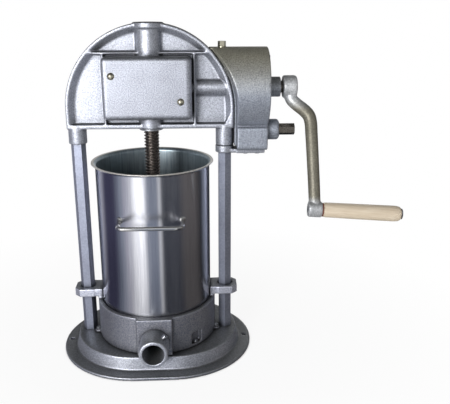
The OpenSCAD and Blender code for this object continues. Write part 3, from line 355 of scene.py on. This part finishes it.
# %% [markdown]
# **Beech, rubber and fibre.** A turned beech grip shows fine streaks along its axis with short dark
# flecks. The grain runs along the grip, which droops and leans with the crank, so a Mapping node
# turns the pattern to the grip's own axis.

# %% Wood and soft finishes
CRANK_TURN = math.radians(-20)
GRIP_DROOP = math.radians(4)
grip_turn = (Matrix.Rotation(CRANK_TURN, 3, "X") @ Matrix.Rotation(GRIP_DROOP, 3, "Y")).inverted()

beech, tree, shader = new_finish("turned_beech", {"IOR": 1.45, "Specular IOR Level": 0.35})
along = add(tree, "ShaderNodeMapping", None, {"Vector": here_in(tree), "Rotation": grip_turn.to_euler()})
long_grain = add(tree, "ShaderNodeMapping", None,
                 {"Vector": along.outputs["Vector"], "Scale": (0.06, 1, 1)}).outputs["Vector"]
streak = noise(tree, long_grain, 2.2, 4.0, 0.6)
fleck = add(tree, "ShaderNodeTexVoronoi", None, {"Vector": long_grain, "Scale": per_mm(1.4)})
wood = blended(tree, stretched(tree, streak, 0.3, 0.72), colour("#BBAB95"), colour("#CEC2AF"))
dark_fleck = stretched(tree, fleck.outputs["Distance"], 0.0, 0.25, 0.5, 0.0)
wood = blended(tree, dark_fleck, wood, colour("#B39C7F"))
rough = stretched(tree, streak, 0.0, 1.0, 0.62, 0.48)
feed(tree, shader, wood, rough, relief_of(tree, streak, 0.15, 0.4))


def moulded(name, light, dark, roughness):
    """Dull stuff with a fine mottle."""
    material, tree, shader = new_finish(name, {"IOR": 1.5})
    mottle = noise(tree, here_in(tree), 1.5, 3.0)
    skin = blended(tree, mottle, colour(dark), colour(light))
    rough = stretched(tree, mottle, 0.0, 1.0, roughness + 0.08, roughness - 0.08)
    feed(tree, shader, skin, rough, relief_of(tree, mottle, 0.15, 0.2))
    return material


rubber = moulded("moulded_rubber", "#3A3A3C", "#2A2A2C", 0.6)
fibre = moulded("hard_fibre", "#7A4637", "#5E3428", 0.55)
print("soft finishes", beech.name, rubber.name, fibre.name)

# %% [markdown]
# ## Plain machine parts
#
# Columns, bolts, shafts, gears and bushes are right as the construction gives them. They keep
# their nodes and get the finish of their material slot, and a small bevel where an edge shows.

# %% Finishes of the CAD nodes
FINISH = {"silver_paint": silver_paint, "column_paint": column_paint, "stainless": stainless,
          "bare_aluminium": bare_aluminium, "bright_steel": bright_steel, "oiled_steel": greased_steel,
          "bronze": bronze, "brass_plated": pale_brass, "rubber": rubber, "beech": beech, "fibre": fibre}
for part in frame["record"]["subparts"]:
    mesh = nodes[part["node"]].data
    mesh.materials.clear()
    mesh.materials.append(FINISH[part["material_slot"]])

for name in ("slow_shaft", "drive_shaft"):
    nodes[name].data.materials[0] = dark_steel

MERGE = 1e-6
EDGE_MM = {"left_column": 0.9, "right_column": 0.9, "gearbox_bolt": 0.8, "gearbox_bolt_washer": 0.4,
           "slow_shaft": 0.8, "drive_shaft": 0.8, "outlet_pin": 1.2, "seat_screws": 0.6, "grip_cap": 0.8,
           "support_screws": 0.5, "column_nuts": 0.6, "piston_plate": 0.8, "air_valve": 0.8}
for name, width in EDGE_MM.items():
    weld = nodes[name].modifiers.new("Close", "WELD")
    weld.merge_threshold = MERGE
    bevel = nodes[name].modifiers.new("Edge", "BEVEL")
    bevel.width = width * MM
    bevel.segments = 3
    bevel.limit_method = "ANGLE"
    bevel.angle_limit = math.radians(35)
print("bevelled nodes", len(EDGE_MM))

# %% [markdown]
# ## Castings
#
# A sand casting has no sharp edge: outer edges are rounded and inner corners hold fillets. A copy
# of each cast node is merged, turned into even small cells by a voxel remesh, and smoothed, which
# rounds every edge by about the same few millimetres, as a mould does. A bevel would have to cope
# with each crossing of ribs and bosses, and a swept surface can't follow the whole head.

# %% Cast pieces
CLOSE = ("WELD", {"merge_threshold": MERGE})


def joined(name, meshes, sides):
    """One object from several meshes whose faces all have so many sides."""
    points, faces, start = [], [], 0
    for part in meshes:
        co = np.empty(len(part.vertices) * 3, np.float32)
        part.vertices.foreach_get("co", co)
        corners = np.empty(len(part.loops), np.int32)
        part.loops.foreach_get("vertex_index", corners)
        points.append(co.reshape(-1, 3))
        faces.append(corners.reshape(-1, sides) + start)
        start += len(part.vertices)
    mesh = bpy.data.meshes.new(name)
    mesh.from_pydata(np.concatenate(points), [], np.concatenate(faces))
    return linked(name, mesh)


def soften(piece, cell, rounds):
    """Turn the piece into cells of so many mm and smooth them so many times."""
    with_modifiers(piece, CLOSE, ("REMESH", {"mode": "VOXEL", "voxel_size": cell * MM}),
                   ("SMOOTH", {"factor": 0.5, "iterations": rounds}))
    piece.data.shade_smooth()


def cast(name, cell, rounds, *copied):
    """Copies of CAD nodes, merged and softened."""
    piece = joined(name, [nodes[n].data for n in copied], 3)
    soften(piece, cell, rounds)
    return piece


for name, cell, rounds in [("head_casting", 1.65, 3), ("base_plate", 1.7, 4), ("seat_cup", 1.5, 4),
                           ("gear_case_cover", 1.2, 5), ("support_plate", 1.1, 4)]:
    paint = {"gear_case_cover": cover_paint, "seat_cup": seat_paint}.get(name, silver_paint)
    place(cast("cast_" + name, cell, rounds, name), "frame", "silver_paint", paint, name)

# %% [markdown]
# The gearbox is a housing with a bolted cover, filed flush so that their joint hardly shows. Both are
# cast as one skin, which is then cut in two at the joint, and each half is closed by a flat face.


# %% Gearbox
def half_of(piece, name, at, keep):
    """The part of a closed skin on one side of the plane x = at, closed by a flat face."""
    skin = bmesh.new()
    skin.from_mesh(piece.data)
    bmesh.ops.bisect_plane(skin, geom=skin.verts[:] + skin.edges[:] + skin.faces[:], dist=1e-7,
                           plane_co=(at, 0, 0), plane_no=(keep, 0, 0), clear_inner=True)
    rim = [e for e in skin.edges if e.is_boundary]
    bmesh.ops.triangle_fill(skin, use_beauty=True, edges=rim, normal=(-keep, 0, 0))
    mesh = bpy.data.meshes.new(name)
    skin.to_mesh(mesh)
    skin.free()
    return linked(name, mesh)


JOINT_BACK = 1.0
both = cast("gearbox_skin", 1.5, 5, "gearbox_housing", "gearbox_cover")
joint_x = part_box("gearbox_cover")[0].x - JOINT_BACK * MM
for name, keep in (("gearbox_housing", -1), ("gearbox_cover", 1)):
    place(half_of(both, "cast_" + name, joint_x, keep), "frame", "silver_paint", gearbox_paint, name)
bpy.data.objects.remove(both)

# %% [markdown]
# ## Turned and bent pieces
#
# The cylinder, the outlet and the grip are lathe work: a profile of radius against length, carried
# round an axis. The wire handle and the crank arm are bars carried along a bent path.


# %% Lathe and sweep
def lathe(profile, count):
    """Points of a profile (radius, height) carried round Z: (r cos t, r sin t, h)."""
    turn = np.linspace(0, 2 * np.pi, count, endpoint=False)
    radius, height = np.asarray(profile, float).T
    return np.stack([np.outer(radius, np.cos(turn)), np.outer(radius, np.sin(turn)),
                     np.repeat(height[:, None], count, 1)], -1)


def rounded_corner(before, corner, after, radius, count=6):
    """Points of a curve that cuts a corner: a quadratic bend between points on both arms."""
    before, corner, after = (np.asarray(p, float) for p in (before, corner, after))
    start = corner + (before - corner) / np.linalg.norm(before - corner) * radius
    end = corner + (after - corner) / np.linalg.norm(after - corner) * radius
    t = np.linspace(0, 1, count)[:, None]
    return (1 - t) ** 2 * start + 2 * t * (1 - t) * corner + t ** 2 * end


def rounded_line(corners, radii, closed=True):
    """A line through corners, each cut by its own bend."""
    n = len(corners)
    pieces = []
    for i, radius in enumerate(radii):
        if radius == 0 or (not closed and i in (0, n - 1)):
            pieces.append(np.asarray([corners[i]], float))
        else:
            pieces.append(rounded_corner(corners[i - 1], corners[i], corners[(i + 1) % n], radius))
    return np.concatenate(pieces)


def smooth_path(corners, count):
    """Centripetal-like curve through points: cubic pieces whose slopes follow the neighbours."""
    p = np.asarray(corners, float)
    step = np.concatenate([[0], np.cumsum(np.sqrt(np.linalg.norm(np.diff(p, axis=0), axis=1)))])
    slope = np.gradient(p, step, axis=0)
    t = np.linspace(0, step[-1], count)
    i = np.clip(np.searchsorted(step, t, "right") - 1, 0, len(p) - 2)
    h = (step[i + 1] - step[i])[:, None]
    s = ((t - step[i])[:, None]) / h
    return ((1 + 2 * s) * (1 - s) ** 2 * p[i] + s * (1 - s) ** 2 * h * slope[i]
            + s ** 2 * (3 - 2 * s) * p[i + 1] + s ** 2 * (s - 1) * h * slope[i + 1])


def bar_along(path, radius, side, count):
    """A round bar along a flat path: p + r (cos t n + sin t side), closed by a cap at each end."""
    path, side = np.asarray(path, float), np.asarray(side, float)
    tangent = np.gradient(path, axis=0)
    tangent /= np.linalg.norm(tangent, axis=1)[:, None]
    normal = np.cross(side, tangent)
    turn = np.linspace(0, 2 * np.pi, count, endpoint=False)
    ring = np.cos(turn)[None, :, None] * normal[:, None] + np.sin(turn)[None, :, None] * side
    radius = np.broadcast_to(np.asarray(radius, float), len(path))
    body = path[:, None] + radius[:, None, None] * ring
    return np.concatenate([np.repeat(path[:1, None], count, 1), body, np.repeat(path[-1:, None], count, 1)])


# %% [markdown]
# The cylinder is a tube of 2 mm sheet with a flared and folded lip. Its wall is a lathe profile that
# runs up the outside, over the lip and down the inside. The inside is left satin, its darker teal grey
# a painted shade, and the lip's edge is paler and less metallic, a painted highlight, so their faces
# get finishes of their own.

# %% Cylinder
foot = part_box("cylinder")[0].z / MM
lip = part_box("cylinder")[1].z / MM
lip_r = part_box("cylinder")[1].x / MM
WALL_OUT, WALL_IN = 108.5, 106.5
SHEET = WALL_OUT - WALL_IN
BELL, CHAMFER = 5.5, 0.4
bell_z = lip - SHEET - BELL
bend = np.linspace(0, np.pi / 2, 12)[:, None]
quarter = np.concatenate([-np.cos(bend), np.sin(bend)], 1)
half_round = np.concatenate([np.sin(2 * bend), -np.cos(2 * bend)], 1)
outer = [WALL_OUT + BELL, bell_z] + BELL * quarter
inner = [WALL_OUT + BELL, bell_z] + (BELL + SHEET) * quarter
tip = [lip_r - SHEET / 2, lip - SHEET / 2] + SHEET / 2 * half_round
wall_z = np.linspace(foot + CHAMFER, bell_z, 12)[1:-1]
outside, inside = (np.stack([np.full_like(wall_z, r), wall_z], 1) for r in (WALL_OUT, WALL_IN))
cylinder_profile = np.concatenate(
    [[(WALL_IN + CHAMFER, foot), (WALL_OUT - CHAMFER, foot), (WALL_OUT, foot + CHAMFER)],
     outside, outer, tip, inner[::-1], inside[::-1], [(WALL_IN, foot + CHAMFER)]])
cylinder = surface("rolled_cylinder", lathe(cylinder_profile, 192), wrap_rows=True)
place(cylinder, "cylinder", "stainless", stainless, "cylinder")


def of_faces(mesh, key):
    """Centre or normal of every face."""
    values = np.empty(len(mesh.polygons) * 3, np.float32)
    mesh.polygons.foreach_get(key, values)
    return values.reshape(-1, 3)


EDGE_W, EDGE_H = 5, 2.2
middles = of_faces(cylinder.data, "center") / MM
upward = of_faces(cylinder.data, "normal")[:, 2]
from_axis = np.hypot(middles[:, 0], middles[:, 1])
is_inside = (from_axis < WALL_IN + 0.5) | ((from_axis < lip_r) & (upward > 0.05))
on_edge = (from_axis > lip_r - EDGE_W) & (middles[:, 2] > lip - EDGE_H)
# Inner faces take the satin with its painted shade, faces at the top of the lip's edge the painted
# highlight.
for finish in (shaded_satin_inside, painted_lip_highlight):
    cylinder.data.materials.append(finish)
cylinder.data.polygons.foreach_set("material_index", np.where(on_edge, 2, is_inside).astype(np.int32))
print("faces of the inner wall", is_inside.sum(), "and of the rolled edge", on_edge.sum())

# %% [markdown]
# The wire handle is one bent rod whose two ends are welded to the wall, with a small bead of weld
# round each end.

# %% Wire handle
low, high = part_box("cylinder_handle")
WIRE_R, WIRE_BEND, WIRE_SUNK, BEAD_SUNK = 4, 13, 1, 0.6
wire_z = (low.z + high.z) / 2 / MM
bar_y = low.y / MM + WIRE_R
leg_x = high.x / MM - WIRE_R
wall_y = -math.sqrt(WALL_OUT ** 2 - leg_x ** 2)
leg = [(-leg_x, wall_y + WIRE_SUNK, wire_z), (-leg_x, bar_y, wire_z),
       (leg_x, bar_y, wire_z), (leg_x, wall_y + WIRE_SUNK, wire_z)]
bends = [rounded_corner(leg[i - 1], leg[i], leg[i + 1], WIRE_BEND, 10) for i in (1, 2)]
wire_path = np.concatenate([[leg[0]], bends[0], bends[1], [leg[3]]])
handle = surface("bent_wire_handle", bar_along(wire_path, WIRE_R, (0, 0, 1), 20))
place(handle, "cylinder", "stainless", wire_steel, "cylinder_handle")

bead = lathe(rounded_line([(0, 0), (7.5, 0), (5.5, 3.2), (0, 4.2)], [0, 1.5, 1.5, 0], closed=False), 20)
lean = np.asarray(Matrix.Rotation(math.radians(90), 3, "X"))
for side, label in ((-1, "left"), (1, "right")):
    out = np.asarray(Matrix.Rotation(math.asin(leg_x / WALL_OUT) * side, 3, "Z"))
    points = bead @ lean.T @ out.T + [side * leg_x, wall_y + BEAD_SUNK, wire_z]
    weld = surface("handle_weld_" + label, points)
    place(weld, "cylinder", "stainless", wire_steel)

# %% [markdown]
# The outlet pipe is turned: a plain outside with a rounded front rim, and a straight bore.

# %% Outlet pipe
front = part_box("outlet_pipe")[0].y / MM
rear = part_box("outlet_pipe")[1].y / MM
OUTLET_R, BORE_R, SPIGOT_R, SPIGOT = 27, 20, 24, 11.5
outlet_z = (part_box("outlet_pipe")[0].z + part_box("outlet_pipe")[1].z) / 2 / MM
pipe = rounded_line(
    [(BORE_R, -rear), (SPIGOT_R, -rear), (SPIGOT_R, -rear + SPIGOT), (OUTLET_R, -rear + SPIGOT),
     (OUTLET_R, -front), (BORE_R, -front)], [0.5, 0.5, 0.3, 0.5, 5, 1.6])
points = lathe(pipe, 96)[..., [0, 2, 1]] * [1, -1, 1] + [0, 0, outlet_z]
outlet = surface("turned_outlet_pipe", points, wrap_rows=True)
place(outlet, "frame", "silver_paint", silver_paint, "outlet_pipe")

# %% [markdown]
# The lead screw has two thread starts. At a height z and an angle t the depth of the thread depends
# only on z / 6 mm minus t / half a turn, and a keyway is cut flat along its rear.

# %% Lead screw
screw_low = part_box("lead_screw")[0].z / MM
screw_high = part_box("lead_screw")[1].z / MM
CREST, ROOT, PITCH, KEY_HALF, KEY_FLOOR = 14, 11.5, 6, 3.3, 10.5
SPIGOT_TOP, SPIGOT_RAD, THREAD_LOW, THREAD_STEP, TAPER = 122, 9, 128, 0.6, 3
height = np.arange(THREAD_LOW, screw_high - TAPER, THREAD_STEP)


def thread_radius(t, z):
    """Trapezoid thread: crest for a third of the pitch, root for a quarter, flanks between."""
    phase = np.abs((z / PITCH - t / np.pi) % 1 - 0.5) * 2
    return ROOT + (CREST - ROOT) * np.clip((phase - 0.28) / 0.36, 0, 1)


key_half = np.arcsin(KEY_HALF / thread_radius(np.pi / 2, height))[:, None]
angle = np.pi / 2 + key_half + np.linspace(0, 1, 60) * (2 * np.pi - 2 * key_half)
radius = thread_radius(angle, height[:, None])
flank = np.stack([radius * np.cos(angle), radius * np.sin(angle)], -1)
floor_x = np.linspace(KEY_HALF, -KEY_HALF, 5)
key_floor = np.stack([floor_x, np.full_like(floor_x, KEY_FLOOR)], -1)
section = np.concatenate([flank, np.broadcast_to(key_floor, (len(height), *key_floor.shape))], 1)
thread = np.concatenate([section, np.broadcast_to(height[:, None, None], section.shape[:2] + (1,))], -1)
direction = section[0] / np.linalg.norm(section[0], axis=1)[:, None]


def ring(scale, z):
    """One round ring of the screw's plain ends, in step with the columns of the thread."""
    return np.concatenate([direction * scale, np.full((len(direction), 1), z)], 1)[None]


ends_low = [ring(0, screw_low), ring(SPIGOT_RAD, screw_low), ring(SPIGOT_RAD, SPIGOT_TOP),
            ring(ROOT, SPIGOT_TOP), ring(ROOT, THREAD_LOW - 1)]
ends_high = [ring(ROOT - TAPER / 2, screw_high - TAPER / 2), ring(ROOT - TAPER, screw_high),
             ring(0, screw_high)]
screw = surface("two_start_screw", np.concatenate(ends_low + [thread] + ends_high))
place(screw, "piston", "oiled_steel", greased_steel, "lead_screw")

# %% [markdown]
# The grip is turned beech: nearly straight, a little thicker towards its end, with rounded ends. It
# is made along Z and then carried into the crank's leaning frame.

# %% Grip
DRIVE_Z = 521.5
EYE = (301.5064, 0, -230)
SPINDLE_R = 5
crank_frame = Matrix.Translation((0, 0, DRIVE_Z)) @ Matrix.Rotation(CRANK_TURN, 4, "X")
grip_frame = crank_frame @ Matrix.Translation(EYE) @ Matrix.Rotation(GRIP_DROOP, 4, "Y")


def carried(points, matrix):
    """Points (..., 3) multiplied by a 4x4 matrix."""
    m = np.asarray(matrix)
    return points @ m[:3, :3].T + m[:3, 3]


GRIP_FROM, GRIP_TO, GRIP_BORE = 15.3, 160.3, SPINDLE_R + 0.3
grip_shape = rounded_line(
    [(GRIP_BORE, GRIP_FROM), (12.8, GRIP_FROM), (13.8, 18), (14.5, 90), (14.75, 150), (13.6, 158),
     (11, GRIP_TO), (GRIP_BORE, GRIP_TO)], [0.3, 1.2, 2, 20, 4, 3, 1, 0.3])
points = lathe(grip_shape, 64)[..., [2, 0, 1]]
grip = surface("beech_grip", carried(points, grip_frame), wrap_rows=True)
place(grip, "grip", "beech", beech, "grip")

# %% [markdown]
# The crank is one casting: a hub, an arm that swings out and down, and an eye for the grip's
# spindle. The three are made as surfaces, fused into one skin of small cells and smoothed, so that
# fillets run into each other. The hexagon and the spindle's hole are cut last and stay sharp.

# %% Crank arm
HUB_FROM, HUB_TO, HUB_R, EYE_HALF, EYE_R = 246, 273, 21, 13, 14.5
HEXAGON, HEXAGON_FROM, HEXAGON_TO, BORE_HALF = 19.3, 240, 282, 20
ARM_ROWS = 80


def knob(low, high, radius, low_bend, high_bend, count):
    """A solid turned disc along X with rounded rims."""
    profile = rounded_line([(0, low), (radius, low), (radius, high), (0, high)],
                           [0, low_bend, high_bend, 0], closed=False)
    return lathe(profile, count)[..., [2, 0, 1]]


arm_path = smooth_path([(259.5, 0, -3), (259.8, 0, -14), (263, 0, -24.5), (273, 0, -34.5), (286, 0, -45),
                        (294.5, 0, -55), (297.8, 0, -68), (298.6, 0, -87), (299.8, 0, -130),
                        (301.2, 0, -195), (301.5, 0, -226)], ARM_ROWS)
arm_r = np.interp(np.linspace(0, 1, ARM_ROWS), [0, 0.15, 0.35, 0.5, 0.9, 1],
                  [11.4, 11.8, 12.2, 11.8, 11.0, 11.0])
shells = [carried(knob(HUB_FROM, HUB_TO, HUB_R, 4, 7, 64), crank_frame),
          carried(knob(-EYE_HALF, EYE_HALF, EYE_R, 3.5, 2.5, 48), grip_frame),
          carried(bar_along(arm_path, arm_r, (0, 1, 0), 32), crank_frame)]
parts = [surface("crank_shell", shell) for shell in shells]
crank = joined("cast_crank", [part.data for part in parts], 4)
soften(crank, 1.1, 8)
corner = HEXAGON / 2 / math.cos(math.pi / 6)
hexagon = surface("hexagon_cutter", carried(
    lathe([(0, HEXAGON_FROM), (corner, HEXAGON_FROM), (corner, HEXAGON_TO), (0, HEXAGON_TO)],
          6)[..., [2, 1, 0]], crank_frame))
bore = surface("bore_cutter", carried(
    lathe([(0, -BORE_HALF), (SPINDLE_R, -BORE_HALF), (SPINDLE_R, BORE_HALF), (0, BORE_HALF)],
          32)[..., [2, 0, 1]], grip_frame))
for cutter in (hexagon, bore):
    with_modifiers(cutter, CLOSE)
    with_modifiers(crank, ("BOOLEAN", {"operation": "DIFFERENCE", "object": cutter}))
for used in (*parts, hexagon, bore):
    bpy.data.objects.remove(used)
crank.data.shade_smooth()
place(crank, "crank", "silver_paint", handled_paint, "crank_arm")

# %% [markdown]
# ## Stage, light and camera
#
# A pale floor catches a soft shadow, and the background is white to the camera and in mirrors. The
# light that falls on the stuffer is another matter: a grey sky that is paler near the horizon.


# %% Floor and world
def is_shown(tree):
    """One for a ray from the camera, through glass or in a mirror, else nought."""
    path = add(tree, "ShaderNodeLightPath").outputs
    direct = worked(tree, "MAXIMUM", path["Is Camera Ray"], path["Is Transmission Ray"])
    return worked(tree, "MAXIMUM", direct, path["Is Glossy Ray"])


FLOOR_R, FLOOR_TOP, FLOOR_LOW, SHADOW_REACH = 6000, -0.4, -2, 20
floor_shape = [(0, FLOOR_TOP), (FLOOR_R, FLOOR_TOP), (FLOOR_R, FLOOR_LOW), (0, FLOOR_LOW)]
floor = surface("floor", lathe(floor_shape, 64))
paper, tree, shader = new_finish("white_paper_sweep", {"Base Color": colour("#E8E8E8"), "Roughness": 1.0})
far = add(tree, "ShaderNodeVectorMath", {"operation": "LENGTH"}, {0: here_in(tree)}).outputs["Value"]
white = worked(tree, "MULTIPLY", stretched(tree, far, 0.25, 0.75, 0.9, 1.0),
               stretched(tree, occlusion(tree, SHADOW_REACH), 0.3, 0.7))
glow = add(tree, "ShaderNodeEmission", None, {"Color": colour("#FFFFFF"), "Strength": 1.0})
mixed = add(tree, "ShaderNodeMixShader", None,
            {0: worked(tree, "MULTIPLY", is_shown(tree), white), 1: shader.outputs[0], 2: glow.outputs[0]})
tree.links.new(mixed.outputs[0], tree.nodes["Material Output"].inputs["Surface"])
floor.data.materials.append(paper)
floor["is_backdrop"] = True

world = bpy.data.worlds.new("studio")
bpy.context.scene.world = world
world.use_nodes = True
tree = world.node_tree
background = tree.nodes["Background"]
toward = axes(tree, add(tree, "ShaderNodeTexCoord").outputs["Generated"])
sky = stretched(tree, toward["Z"], 0.0, 0.8, 0.46, 0.2)
level = add(tree, "ShaderNodeMix", {"data_type": "FLOAT"}, {0: is_shown(tree), 2: sky, 3: 1.0})
background.inputs["Color"].default_value = colour("#FFFFFF")
tree.links.new(level.outputs[0], background.inputs["Strength"])
print("floor and world", floor.name, world.name)

# %% [markdown]
# Polished steel shows what stands round it, so a tent of upright light and dark strips stands round
# the stuffer, seen by reflections only. Its strips are given by the part of the circle that they
# fill, counted from the rear, over the left, the front and the right, back to the rear. They fade to
# a dark roof, and above the cylinder the front and the rear are nearly an even pale grey.

# %% Tent of strips
BLACK, DARK, DUSK, WARM = "#26272C", "#3F424B", "#45445B", "#666261"
MID, LIGHT, WHITE, PALE = "#8C93A2", "#C7C7D2", "#FFFFFF", "#C4C6C8"
STRIPS = [(0.00, DARK), (0.12, DARK), (0.17, LIGHT), (0.22, DUSK), (0.29, DUSK), (0.33, MID), (0.37, LIGHT),
          (0.415, WHITE), (0.46, WHITE), (0.475, MID), (0.525, MID), (0.535, WHITE), (0.55, DARK),
          (0.63, DARK), (0.67, WARM), (0.74, WARM), (0.79, BLACK), (0.82, MID), (0.85, BLACK), (1.00, DARK)]
TENT_X, TENT_Y, TENT_FOOT, TENT_WALL, TENT_ROOF = 560, 400, 0.3, 1100, 1250
tent_shape = lathe([(0, TENT_FOOT), (0.5, TENT_FOOT), (1, TENT_FOOT), (1, TENT_WALL), (0.5, TENT_ROOF),
                    (0, TENT_ROOF)], 96) * [TENT_X, TENT_Y, 1]
tent = surface("strip_tent", tent_shape)
cloth, tree, _ = new_finish("tent_strips", {})
spot = axes(tree, here_in(tree))
forward = worked(tree, "MULTIPLY", spot["Y"], -1.0)
bearing = worked(tree, "ARCTAN2", spot["X"], forward)
strip = ramp(tree, stretched(tree, bearing, -math.pi, math.pi), STRIPS)
roof = stretched(tree, spot["Z"], 0.45, 0.85, 1.0, 0.15, smooth=True)
mat = stretched(tree, spot["Z"], 0.0, 0.12, 0.62, 1.0, smooth=True)
upper = stretched(tree, spot["Z"], 0.3, 0.42, 0.0, 0.8, smooth=True)
ends = stretched(tree, worked(tree, "ABSOLUTE", forward), 0.05, 0.25, smooth=True)
shade = blended(tree, worked(tree, "MULTIPLY", upper, ends), strip, colour(PALE))
glow = add(tree, "ShaderNodeEmission", None,
           {"Color": shade, "Strength": worked(tree, "MULTIPLY", roof, mat)})
tree.links.new(glow.outputs[0], tree.nodes["Material Output"].inputs["Surface"])
tent.data.materials.append(cloth)
for ray in ("camera", "diffuse", "shadow", "transmission", "volume_scatter"):
    setattr(tent, "visible_" + ray, False)
tent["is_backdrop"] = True
print("strips of the tent", len(STRIPS))

# %% [markdown]
# Three soft lamps light the stuffer: a strong one from the front left, a weak one from the front right
# and one from behind that draws a bright line on upper edges.


# %% Lamps
def lamp(name, place_at, aim, size, watts, tint):
    """A rectangular area lamp that looks at its aim."""
    light = bpy.data.lights.new(name, "AREA")
    light.shape = "RECTANGLE"
    light.size, light.size_y = size
    light.energy = watts
    light.color = colour(tint)[:3]
    stand = linked(name, light)
    stand.location = place_at
    stand.rotation_euler = (Vector(place_at) - Vector(aim)).to_track_quat("Z", "Y").to_euler()
    print(name, watts, "W")


lamp("key_left", (-1.1, -2.3, 0.85), (0, 0, 0.4), (0.9, 0.8), 66, "#FFFFFF")
lamp("rear_soft", (0.5, 2.4, 0.9), (0, 0, 0.35), (1.6, 1.0), 24, "#FFFFFF")
lamp("fill_right", (1.5, -1.9, 0.75), (0.1, 0, 0.4), (0.8, 1.0), 6, "#F6F4EE")

# %% [markdown]
# The camera was fitted to the photo together with the sizes. Its focal length in pixels, over the
# photo's width in pixels, is the lens over the width of the sensor.

# %% Camera
PHOTO_W, FOCAL_PX, SENSOR_W = 450, 627.1, 36
LOOK_DOWN, LOOK_RIGHT = 17.465, 3
camera = linked("camera", bpy.data.cameras.new("camera"))
camera.data.lens = FOCAL_PX / PHOTO_W * SENSOR_W
camera.data.sensor_width = SENSOR_W
camera.location = (0.0773, -1.1739, 0.6673)
camera.rotation_euler = Euler((math.radians(90 - LOOK_DOWN), 0, math.radians(-LOOK_RIGHT)))
bpy.context.scene.camera = camera
bpy.context.scene.view_settings.view_transform = "Standard"
print("lens", round(camera.data.lens, 2), "mm")

# %% Sizes
low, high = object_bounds()
print("visual box", [round(v, 4) for v in high - low])
